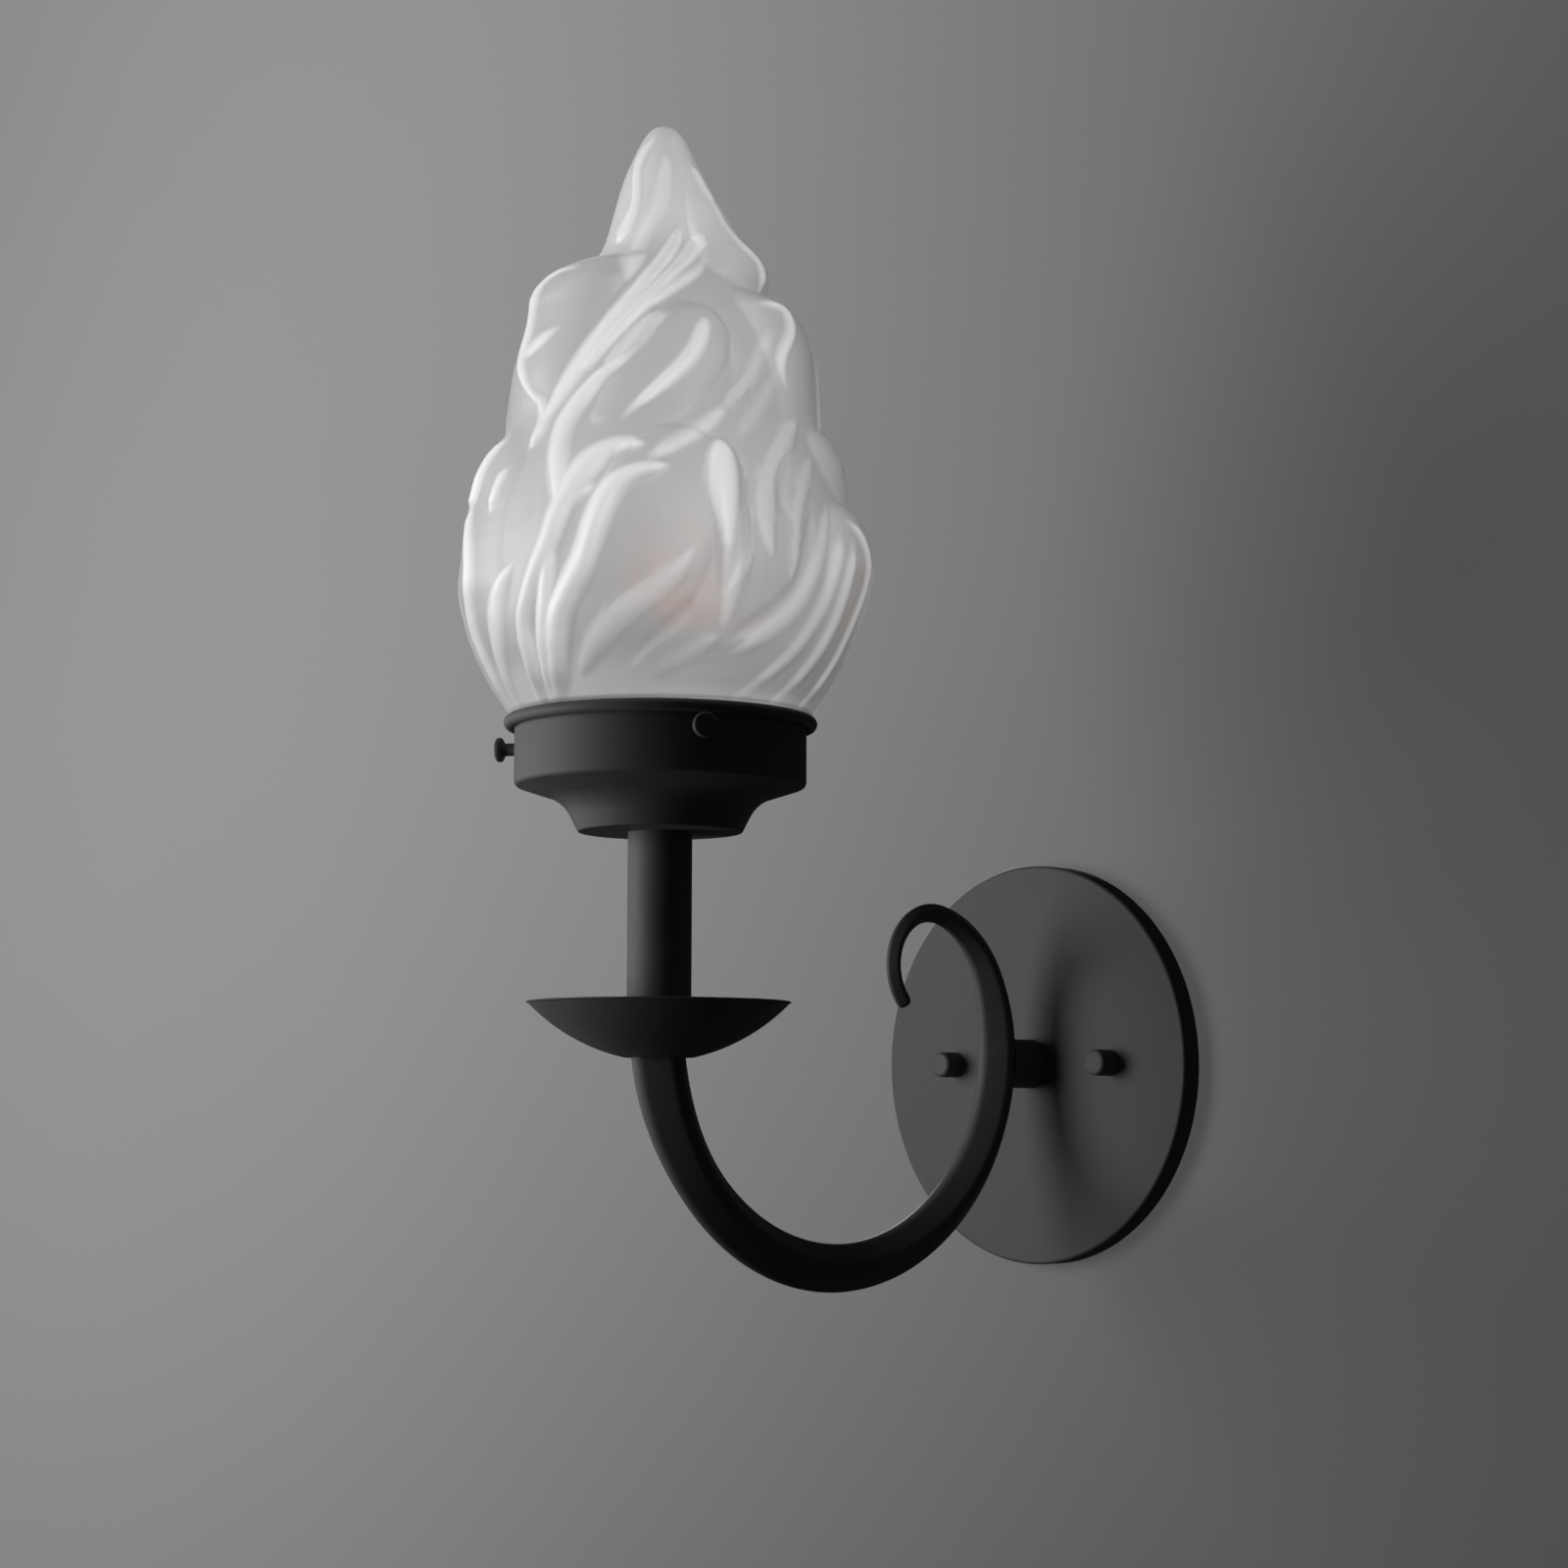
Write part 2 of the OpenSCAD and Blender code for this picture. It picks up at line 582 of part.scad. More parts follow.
module socket_shell() color(brass) on_torch(shell_z) {
    tube(shell_r, shell_r - shell_wall, shell_l);
    translate([0, 0, shell_l - shell_wall]) rotate_extrude()
        translate([shell_r - shell_wall / 2, 0]) circle(r = shell_wall, $fn = bead_fn);
}
liner_r = shell_r - shell_wall - fit_gap;
module socket_liner() color([0.75, 0.66, 0.5]) on_torch(liner_z)
    tube(liner_r, liner_r - liner_wall, shell_top - liner_inset - liner_z);
body_foot_r = 8;
body_foot_bore_r = 4.5;
body_foot_h = 3;
terminal_w = 6;
terminal_x = 9.5;
terminal_from = 3;
module socket_body() color([0.13, 0.1, 0.08]) on_torch(body_z) difference() {
    union() {
        cylinder(r = body_r, h = body_h);
        translate([0, 0, -body_foot_h]) tube(body_foot_r, body_foot_bore_r, body_foot_h);
    }
    for (from = [terminal_x, -terminal_x - body_r])
        translate([from, -terminal_w / 2, terminal_from]) cube([body_r, terminal_w, body_h]);
}
module socket_screw_shell() color(brass) on_torch(contact_z)
    tube(lamp_base_r + thread_gap + screw_shell_wall, lamp_base_r + thread_gap, screw_shell_l);
contact_pin_r = 2;
contact_pad_r = 3.5;
contact_pad_t = 0.6;
module socket_contact() color(brass) on_torch(contact_z) {
    small_cylinder(contact_pin_r, contact_h - contact_pad_t);
    translate([0, 0, contact_h - contact_pad_t]) small_cylinder(contact_pad_r, contact_pad_t);
}
terminal_screw_r = 2.6;
terminal_screw_l = 2;
module terminal_screws() color(zinc) on_torch(body_z + (terminal_from + body_h) / 2)
    for (side = [-1, 1]) translate([side * terminal_x, 0, 0]) rotate([0, 90 * side, 0])
        small_cylinder(terminal_screw_r, terminal_screw_l);

// ---- Lamp ----
module on_lamp(h = 0) on_torch(lamp_z + h) children();
thread_ridges = 6;
thread_pitch = 3;
thread_root = 0.3;
base_floor_t = 1;
module lamp_base() color(brass) on_lamp(tip_h + insulator_h) {
    top = lamp_base_h - tip_h - insulator_h;
    r_root = lamp_base_r - thread_depth;
    difference() {
        union() {
            cylinder(r = r_root, h = top);
            for (k = [0 : thread_ridges - 1]) translate([0, 0, (k + 2 / 3) * thread_pitch]) rotate_extrude()
                translate([r_root - thread_root, 0]) circle(r = thread_depth + thread_root, $fn = bead_fn);
        }
        translate([0, 0, base_floor_t]) cylinder(r = lamp_neck_r + fit_gap, h = top);
    }
}
insulator_low_r = 5.2;
insulator_edge = 0.6;
module lamp_insulator() color([0.08, 0.08, 0.1]) on_lamp(tip_h)
    cylinder(r1 = insulator_low_r, r2 = lamp_base_r - thread_depth - insulator_edge, h = insulator_h);
tip_r = 4.6;
tip_edge_r = 3.4;
tip_edge_h = 0.6;
module lamp_contact() color(zinc) on_lamp() {
    translate([0, 0, tip_edge_h]) small_cylinder(tip_r, tip_h - tip_edge_h);
    cylinder(r1 = tip_edge_r, r2 = tip_r, h = tip_edge_h, $fn = small_fn);
}
// The glass is a ball on a neck, joined by a slope that leaves the neck upright and meets the ball's side
neck_from = lamp_base_h - collar_lap;
ball_from = 28;
side_steps = 12;
neck_pull = 0.6 * lamp_r;
ball_pull = 0.5 * lamp_r;
side_start = [lamp_neck_r, lamp_base_h + 2];
side_end = [0, ball_z] + at_angle(lamp_r, -ball_from);
function bezier(p, q, r, s, t) =
    pow(1 - t, 3) * p + 3 * pow(1 - t, 2) * t * q + 3 * (1 - t) * t * t * r + pow(t, 3) * s;
function lamp_side(t) =
    bezier(side_start, side_start + [0, neck_pull], side_end - ball_pull * [sin(ball_from), cos(ball_from)],
        side_end, t);
module lamp_glass() color([0.95, 0.72, 0.45, 0.5]) on_lamp() rotate_extrude() {
    side = [for (i = [0 : side_steps]) lamp_side(i / side_steps)];
    side_in = [for (i = [side_steps : -1 : 0]) side[i] - [lamp_glass_wall, 0]];
    crown = arc([0, ball_z], lamp_r, -ball_from, 90, 20);
    crown_in = arc([0, ball_z], lamp_r - lamp_glass_wall, 90, -ball_from, 20);
    polygon(concat([[lamp_neck_r, neck_from]], side, crown, crown_in, side_in,
        [[lamp_neck_r - lamp_glass_wall, neck_from]]));
}
// The glass mount stands on the base's floor: a wide foot, a cone, a stem and a thin post
mount_foot_r = 8;
mount_foot_h = 7;
mount_cone_h = 12;
mount_stem_r = 2.4;
mount_post_r = 0.7;
module lamp_mount() color([0.8, 0.82, 0.82]) on_lamp() {
    foot_z = tip_h + insulator_h + base_floor_t;
    cone_z = foot_z + mount_foot_h;
    stem_low_z = cone_z + mount_cone_h;
    translate([0, 0, foot_z]) small_cylinder(mount_foot_r, mount_foot_h);
    translate([0, 0, cone_z])
        cylinder(r1 = mount_foot_r, r2 = mount_stem_r, h = mount_cone_h, $fn = small_fn);
    translate([0, 0, stem_low_z]) small_cylinder(mount_stem_r, stick_bottom - stem_low_z);
    translate([0, 0, stick_bottom]) small_cylinder(mount_post_r, stick_l + 3 * spider_r);
    for (z = [stick_bottom - spider_r, stick_bottom + stick_l + spider_r]) translate([0, 0, z])
        at_sticks() rotate([0, 90, 0]) cylinder(r = spider_r, h = stick_ring_r + stick_r, $fn = bead_fn);
}
module at_sticks() for (k = [0 : stick_count - 1]) rotate([0, 0, 45 + 360 * k / stick_count]) children();
module lamp_filaments() color([0.95, 0.8, 0.35]) on_lamp(stick_bottom)
    at_sticks() translate([stick_ring_r, 0, 0]) cylinder(r = stick_r, h = stick_l, $fn = bead_fn);

// ---- Flame shade ----
// Body of the flame between its tongues: [share of the height over the lip, share of flame_r]
body_curve = [
    [0, 0.78], [0.04, 0.86], [0.09, 0.94], [0.15, 0.985], [0.2, 1], [0.25, 0.993], [0.31, 0.967],
    [0.42, 0.868], [0.53, 0.756], [0.64, 0.636], [0.69, 0.541], [0.74, 0.405], [0.78, 0.33],
    [0.81, 0.289], [0.85, 0.251], [0.91, 0.203], [0.94, 0.162], [0.96, 0.13], [0.98, 0.09], [1, 0.012]
];
// Tongues of the flame. Each row is [share of the height, direction, share of tongue_h, half width];
// directions and half widths are in degrees
tongues = [
    [[0.01, -111, 0, 26], [0.08, -117, 0.09, 30], [0.21, -125, 0.35, 35], [0.31, -125, 0.35, 34],
        [0.38, -122, 0.48, 33], [0.43, -118, 0.3, 26], [0.46, -115, 0, 12]],
    [[0.44, -153, 0, 20], [0.5, -149, 0.31, 30], [0.57, -145, 0.45, 32], [0.63, -139, 0.31, 26],
        [0.67, -137, 0, 18]],
    [[0.44, -95, 0, 14], [0.5, -104, 0.27, 28], [0.59, -109, 0.5, 40], [0.66, -111, 0.73, 48],
        [0.71, -107, 1, 52], [0.735, -101, 0.83, 50], [0.755, -91, 0, 36]],
    [[0.01, 25, 0, 24], [0.12, 39, 0.17, 30], [0.25, 49, 0.69, 34], [0.315, 50, 0.54, 30],
        [0.345, 46, 0, 14]],
    [[0.28, 55, 0, 20], [0.385, 51, 0.43, 30], [0.445, 44, 0.43, 26], [0.47, 40, 0, 10]],
    [[0.4, 18, 0, 16], [0.52, 29, 0.31, 24], [0.6, 33, 0.69, 32], [0.66, 29, 0.77, 33], [0.69, 20, 0, 18]],
    [[0.4, 76, 0, 18], [0.52, 68, 0.5, 28], [0.61, 60, 0.79, 30], [0.665, 56, 0, 14]],
    [[0.69, 30, 0, 34], [0.72, 34, 0.63, 48], [0.765, 36, 1, 52], [0.815, 32, 0.65, 50], [0.88, 24, 0.23, 42],
        [0.96, 18, 0, 34]],
    [[0.01, 139, 0, 22], [0.15, 146, 0.3, 28], [0.3, 155, 0.5, 30], [0.39, 158, 0, 14]],
    [[0.3, -172, 0, 18], [0.42, -170, 0.4, 26], [0.54, -166, 0.5, 28], [0.6, -160, 0, 12]],
    [[0.05, -50, 0, 16], [0.2, -46, 0.12, 22], [0.33, -38, 0.22, 22], [0.4, -32, 0, 10]],
    [[0.36, -60, 0, 14], [0.5, -42, 0.15, 22], [0.62, -24, 0.22, 24], [0.68, -16, 0, 12]]
];
function angle_apart(a, b) = abs(((a - b + 540) % 360) - 180);
function column(rows, k) = [for (r = rows) [r[0], r[k]]];
// How far the tongue t lifts the surface at the share h of the height and the direction a
function lift(t, h, a) =
    h <= t[0][0] || h >= t[len(t) - 1][0] ? 0 :
    let (across = angle_apart(a, lookup(h, column(t, 1))) / lookup(h, column(t, 3)))
        across >= 1 ? 0 : lookup(h, column(t, 2)) * (1 - pow(across, 3));
// Ribs that run over the body. Each is [half width, height, line, turns], and a line's points are
// [share of the height, direction]; the rib stands once for each of its turns
once = [0];
twice = [0, 180];
ribs = [
    // Crest from the upper left down to the middle of the left side, and its branch
    [5, 2.8, [[0.78, -26], [0.68, -48], [0.61, -62], [0.55, -74], [0.44, -86]], twice],
    [4, 2.2, [[0.78, -8], [0.66, -42], [0.55, -68]], twice],
    // Hook under the crest
    [4.5, 2.6, [[0.62, -38], [0.58, -52], [0.5, -66], [0.34, -70]], twice],
    // The two sweeps that rise from the neck and lean over at the top
    [5, 3, [[0.39, -46], [0.4, -52], [0.35, -66], [0.26, -74], [0.14, -84], [0.02, -88]], twice],
    [5, 3, [[0.35, -38], [0.35, -46], [0.24, -60], [0.15, -70], [0.01, -86]], twice],
    // Finger that stands over the middle of the front
    [9, 3.4, [[0.07, -18], [0.31, -26], [0.39, -28]], twice],
    // Lines of the front's upper and lower tongue
    [5, 2.4, [[0.61, -22], [0.53, -34], [0.45, -50]], twice],
    [5, 1.8, [[0.49, -14], [0.41, -28], [0.37, -44]], twice],
    [6, 2, [[0.2, -32], [0.13, -46], [0.07, -62], [0.02, -70]], twice],
    // Ribs of the right side
    [7, 1.6, [[0.41, -6], [0.28, -8], [0.14, -10]], twice],
    [5, 1.8, [[0.33, 22], [0.23, 12], [0.1, 6], [0.01, -10]], twice],
    [4.5, 2, [[0.3, 36], [0.18, 22], [0.02, 6]], once],
    [4, 1.6, [[0.68, 14], [0.67, 36], [0.58, 24], [0.5, 36]], once],
    // Rims of the tongues of the left side
    [4, 2, [[0.7, -116], [0.61, -122], [0.52, -102], [0.48, -88]], once],
    [4, 2, [[0.43, -106], [0.34, -120], [0.23, -112], [0.07, -100]], once],
    // Lines of the tip
    [4, 1.6, [[0.97, -62], [0.86, -72], [0.77, -74]], once],
    [4.5, 1.8, [[0.93, -32], [0.84, -38], [0.69, -58]], twice]
];
function turn_from(a, b) = ((a - b + 540) % 360) - 180;
// Distance between the point at the share h and direction a and the leg from p to q, on the radius r
function leg_distance(h, a, p, q, r) =
    let (round = r * PI / 180, rise = tip_z - shoulder_z,
         v = [(q[1] - p[1]) * round, (q[0] - p[0]) * rise],
         w = [turn_from(a, p[1]) * round, (h - p[0]) * rise],
         t = min(1, max(0, (v * w) / (v * v))))
        norm(w - t * v);
// How far the rib b stands up at the share h and direction a: a bell over its half width
function rib_height(b, h, a, r) =
    let (line = b[2], levels = [for (p = line) p[0]], reach = b[0] / (tip_z - shoulder_z))
        h < min(levels) - reach || h > max(levels) + reach ? 0 :
        let (near = min([for (k = [0 : len(line) - 2]) leg_distance(h, a, line[k], line[k + 1], r)]),
             x = near / b[0])
            x >= 1 ? 0 : b[1] * (1 - x * x) * (1 - x * x);
// Point of the glass's outer side, or of its inner side with the wall's thickness given
roof_share = 1.2;
least_r = 0.4;
function flame_point(h, a, wall) =
    let (body = flame_r * lookup(h, body_curve),
         up = wall > 0 ? 0 : tongue_h * max([for (t = tongues) lift(t, h, a)])
             + max([for (b = ribs, turn = b[3]) rib_height(b, h, a - turn, body)]),
         r = max(least_r, body + up - wall),
         z = shoulder_z + (tip_z - shoulder_z) * h - wall * roof_share * h)
        [r * cos(a), r * sin(a), z];
// The outer side has twice the columns of the inner side, and they wind round it as the ribs do
flame_wind = 120;
flame_cols = 80;
flame_rows = 62;
cavity_cols = flame_cols / 2;
cavity_rows = 22;
function flame_ring(r, z, n) = [for (i = [0 : n - 1]) let (a = 360 * i / n) [r * cos(a), r * sin(a), z]];
lip_arc_from = 160;
lip_arc_to = 120;
cavity_flare = 2;
module glass_shade() color(glass_white) on_torch() {
    m = flame_cols;
    c = cavity_cols;
    // The glass bulges out over the holder's lip, along an arc about the middle of its roll
    over_lip = arc([skirt_r + lip_out, lip_z], lip_r + lip_gap, lip_arc_from, lip_arc_to, 2);
    in_r = neck_r - glass_wall;
    outer = concat(flame_ring(neck_r, neck_z, m), flame_ring(neck_r, lip_z - 2 * lip_r, m),
        [for (p = over_lip) each flame_ring(p[0], p[1], m)],
        [for (k = [0 : flame_rows], i = [0 : m - 1]) let (h = k / flame_rows)
            flame_point(h, 360 * i / m + flame_wind * h, 0)]);
    inner = concat(flame_ring(in_r, neck_z, c), flame_ring(in_r, lip_z, c),
        flame_ring(in_r + cavity_flare, lip_z + 2 * cavity_flare, c),
        [for (k = [1 : cavity_rows], i = [0 : c - 1])
            flame_point(k / cavity_rows, 360 * i / c, glass_wall)]);
    n_out = len(outer) / m;
    n_in = len(inner) / c;
    first_in = len(outer);
    sides = [for (k = [0 : n_out - 2], i = [0 : m - 1])
        let (a = k * m + i, b = k * m + (i + 1) % m) each [[a, a + m, b + m], [a, b + m, b]]];
    cavity = [for (k = [0 : n_in - 2], i = [0 : c - 1]) let (j = (i + 1) % c, at = first_in + k * c)
        [at + i, at + j, at + c + j, at + c + i]];
    mouth = [for (i = [0 : c - 1]) let (j = (i + 1) % c)
        [2 * i, 2 * i + 1, (2 * i + 2) % m, first_in + j, first_in + i]];
    tip = [[for (i = [m - 1 : -1 : 0]) (n_out - 1) * m + i]];
    roof = [[for (i = [0 : c - 1]) first_in + (n_in - 1) * c + i]];
    polyhedron(points = concat(outer, inner), faces = concat(sides, cavity, mouth, tip, roof),
        convexity = 10);
}

backplate();
crossbar();
canopy_studs();
stud_nuts();
cap_nut(-1);  // cap_nut_left
cap_nut(1);  // cap_nut_right
arm_nipple();
nipple_washer();
nipple_locknut();
ground_screw();
ground_strap();
knuckle();
scroll_arm();
supply_wire(1, [0.05, 0.05, 0.05]);  // hot_wire
supply_wire(-1, [0.9, 0.9, 0.88]);  // neutral_wire
drip_dish();
stem_tube();
torch_rod();
shade_holder();
holder_washer();
holder_locknut();
thumb_screw(0);  // thumb_screw_1
thumb_screw(1);  // thumb_screw_2
thumb_screw(2);  // thumb_screw_3
socket_cap();
socket_shell();
socket_liner();
socket_body();
socket_screw_shell();
socket_contact();
terminal_screws();
glass_shade();
lamp_glass();
lamp_base();
lamp_insulator();
lamp_contact();
lamp_mount();
lamp_filaments();
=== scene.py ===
"""Looks of a torch wall sconce: a flame of frosted glass in a black cup on a scroll arm.

Every surface here is a grid of points worked out with numpy. Lengths are written in millimetres
and become metres when a mesh is made. Heights of the torch are over its base plane, TORCH_Z.
"""
import json
import math

import bpy
import numpy as np
from mathutils import Matrix, Vector


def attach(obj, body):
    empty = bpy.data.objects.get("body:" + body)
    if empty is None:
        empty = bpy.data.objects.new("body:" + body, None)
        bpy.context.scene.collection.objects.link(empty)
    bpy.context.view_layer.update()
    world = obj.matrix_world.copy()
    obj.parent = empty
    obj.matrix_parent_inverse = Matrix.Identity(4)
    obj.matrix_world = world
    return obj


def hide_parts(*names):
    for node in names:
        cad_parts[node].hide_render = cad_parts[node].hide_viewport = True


bl_info = {
    "name": "Torch wall sconce",
    "version": (1, 0, 0),
    "blender": (4, 5, 0),
    "location": "3D View > Sidebar > Sconce",
    "description": "Makes the glass, the ironwork, the lamp and the stage of a torch wall sconce",
    "category": "Add Mesh",
}

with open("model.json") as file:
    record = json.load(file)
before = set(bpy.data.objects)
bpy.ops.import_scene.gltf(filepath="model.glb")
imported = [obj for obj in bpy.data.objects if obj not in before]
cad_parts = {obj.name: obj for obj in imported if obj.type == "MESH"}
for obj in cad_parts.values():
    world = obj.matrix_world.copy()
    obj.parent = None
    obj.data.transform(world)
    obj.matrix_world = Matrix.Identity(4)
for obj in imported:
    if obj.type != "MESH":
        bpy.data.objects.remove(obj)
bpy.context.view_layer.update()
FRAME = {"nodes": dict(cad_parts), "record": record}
MM = 0.001

# The torch's axis stands here, and heights along it are measured from here
TORCH_Y, TORCH_Z = -171.915, -0.148
# The flame's own directions count from the one that looks at the room's right-hand side
FLAME_TURN = -40.5
# The lamp's colour is painted faintly into the flame about this X and Z, as if seen through the glass,
# in a soft-edged patch: on each side it is full up to the first distance and gone at the second
WARM_AT, WARM_X, WARM_Z = (46, 136), (3, 14), (4, 22)
# Edges that turn by more than this many degrees are shaded sharp
SHARP = 50


# ---------------------------------------------------------------- numbers
def smooth_line(at, xs, ys):
    """Curve through the points (xs, ys): a cubic between each two, whose slope at a point is the
    harmonic mean of the slopes on both sides, and 0 where they differ in sign, so it never overshoots."""
    xs, ys = np.asarray(xs, float), np.asarray(ys, float)
    step, rise = np.diff(xs), np.diff(ys) / np.diff(xs)
    left, right = rise[:-1], rise[1:]
    w1, w2 = 2 * step[1:] + step[:-1], step[1:] + 2 * step[:-1]
    same = left * right > 0
    safe = np.where(same, w1 * right + w2 * left, 1)
    middle = np.where(same, (w1 + w2) * left * right / np.where(safe == 0, 1, safe), 0)
    slope = np.concatenate([rise[:1], middle, rise[-1:]])
    at = np.clip(at, xs[0], xs[-1])
    k = np.clip(np.searchsorted(xs, at, side="right") - 1, 0, len(step) - 1)
    h = step[k]
    t = (at - xs[k]) / h
    return (
        (2 * t**3 - 3 * t**2 + 1) * ys[k] + (t**3 - 2 * t**2 + t) * h * slope[k]
        + (3 * t**2 - 2 * t**3) * ys[k + 1] + (t**3 - t**2) * h * slope[k + 1]
    )


def ease(x):
    """0 below 0, 1 above 1, and three x squared less two x cubed between."""
    x = np.clip(x, 0, 1)
    return x * x * (3 - 2 * x)


def smoothed(row, reach=5):
    """A row of numbers after two running means over reach of them on both sides, which keep its ends."""
    share = np.full(2 * reach + 1, 1 / (2 * reach + 1))
    for _ in range(2):
        row = np.convolve(np.pad(row, reach, mode="reflect", reflect_type="odd"), share, "valid")
    return row


def soft_max(a, b, k):
    """The larger of a and b, rounded by a parabola where they differ by less than k."""
    h = np.clip(0.5 + 0.5 * (a - b) / k, 0, 1)
    return b + (a - b) * h + k * h * (1 - h)


def turn_apart(a):
    """An angle in degrees brought between -180 and 180."""
    return (a + 180) % 360 - 180


# ---------------------------------------------------------------- meshes
def to_mesh(name, points, faces, sharp=None):
    """Object from points in millimetres, given in the sconce's own frame, and a list of face arrays. Its
    shading is smooth, and breaks at edges that turn by more than the sharp angle."""
    mesh = bpy.data.meshes.new(name)
    sizes = np.concatenate([np.full(len(f), f.shape[1]) for f in faces])
    corners = np.concatenate([f.ravel() for f in faces])
    mesh.vertices.add(len(points))
    mesh.vertices.foreach_set("co", (np.asarray(points, float) * MM).ravel())
    mesh.loops.add(len(corners))
    mesh.loops.foreach_set("vertex_index", corners.astype(np.int32))
    mesh.polygons.add(len(sizes))
    mesh.polygons.foreach_set("loop_start", (np.cumsum(sizes) - sizes).astype(np.int32))
    mesh.polygons.foreach_set("use_smooth", np.full(len(sizes), True))
    mesh.update(calc_edges=True)
    mesh.validate()
    if sharp is not None:
        mesh.set_sharp_from_angle(angle=math.radians(sharp))
    obj = bpy.data.objects.new(name, mesh)
    bpy.context.scene.collection.objects.link(obj)
    return obj


def grid_faces(rows, cols, start=0, loop_rows=False):
    """Quads of a grid whose columns close into a ring, and with loop_rows its rows as well. The point at
    a row and column has the number start + row * cols + column."""
    row, col = np.meshgrid(np.arange(rows if loop_rows else rows - 1), np.arange(cols), indexing="ij")
    row, col = row.ravel(), col.ravel()
    up, on = (row + 1) % rows, (col + 1) % cols
    return start + np.stack([row * cols + col, row * cols + on, up * cols + on, up * cols + col], 1)


def fan(ring, pole, flip=False):
    """Triangles from a ring of point numbers to one pole."""
    nxt = np.roll(ring, -1)
    a, b = (nxt, ring) if flip else (ring, nxt)
    return np.stack([a, b, np.full(len(ring), pole)], 1)


def turned_piece(name, outline, place, cols=192):
    """Solid of revolution: the closed outline of (radius, height) points is turned about +Z, and place
    maps the finished points into the sconce. The outline runs up its outer side."""
    outline = np.asarray(outline, float)
    a = np.linspace(0, 2 * np.pi, cols, endpoint=False)
    r, z = outline[:, :1], outline[:, 1:]
    points = np.stack([r * np.cos(a), r * np.sin(a), z + 0 * a], -1).reshape(-1, 3)
    return to_mesh(name, place(points), [grid_faces(len(outline), cols, loop_rows=True)], SHARP)


def on_torch(points):
    """Moves points from the torch's own axis to where the torch stands."""
    return points + np.array([0, TORCH_Y, TORCH_Z])


def rounded(a, b, c, r, n=16):
    """Points of the arc of radius r that touches both sides of the corner b between a and c."""
    a, b, c = (np.asarray(p, float) for p in (a, b, c))
    u, v = (a - b) / np.linalg.norm(a - b), (c - b) / np.linalg.norm(c - b)
    half = math.acos(float(np.clip(u @ v, -1, 1))) / 2
    middle = b + (u + v) / np.linalg.norm(u + v) * r / math.sin(half)
    start, end = b + u * r / math.tan(half) - middle, b + v * r / math.tan(half) - middle
    a0 = math.atan2(start[1], start[0])
    sweep = (math.atan2(end[1], end[0]) - a0 + 3 * math.pi) % (2 * math.pi) - math.pi
    t = a0 + sweep * np.linspace(0, 1, n)
    return middle + r * np.stack([np.cos(t), np.sin(t)], 1)


def inset(a, b, c, w):
    """The corner b of the path a, b, c, moved to the path's left by w along both of its sides."""
    def left(p, q):
        d = (np.asarray(q, float) - p) / np.linalg.norm(np.asarray(q, float) - p)
        return np.array([-d[1], d[0]])
    m, n = left(a, b), left(b, c)
    return np.asarray(b, float) + w * (m + n) / (1 + m @ n)


# ---------------------------------------------------------------- the flame
# Valley line of the flame: height, radius
FLAME_BODY = np.array([
    (103, 45.4), (110, 50), (120, 54.8), (130, 57.3), (140, 58.2), (150, 57.8), (160, 56.3), (170, 53.8),
    (180, 50.5), (190, 47), (200, 44), (210, 41), (220, 37), (230, 31.5), (240, 23.6), (246, 19.2),
    (252, 16.8), (260, 14.6), (270, 11.8), (276, 9.4), (280, 7.6), (284, 5.2), (286, 3.2), (287.2, 0.3)])
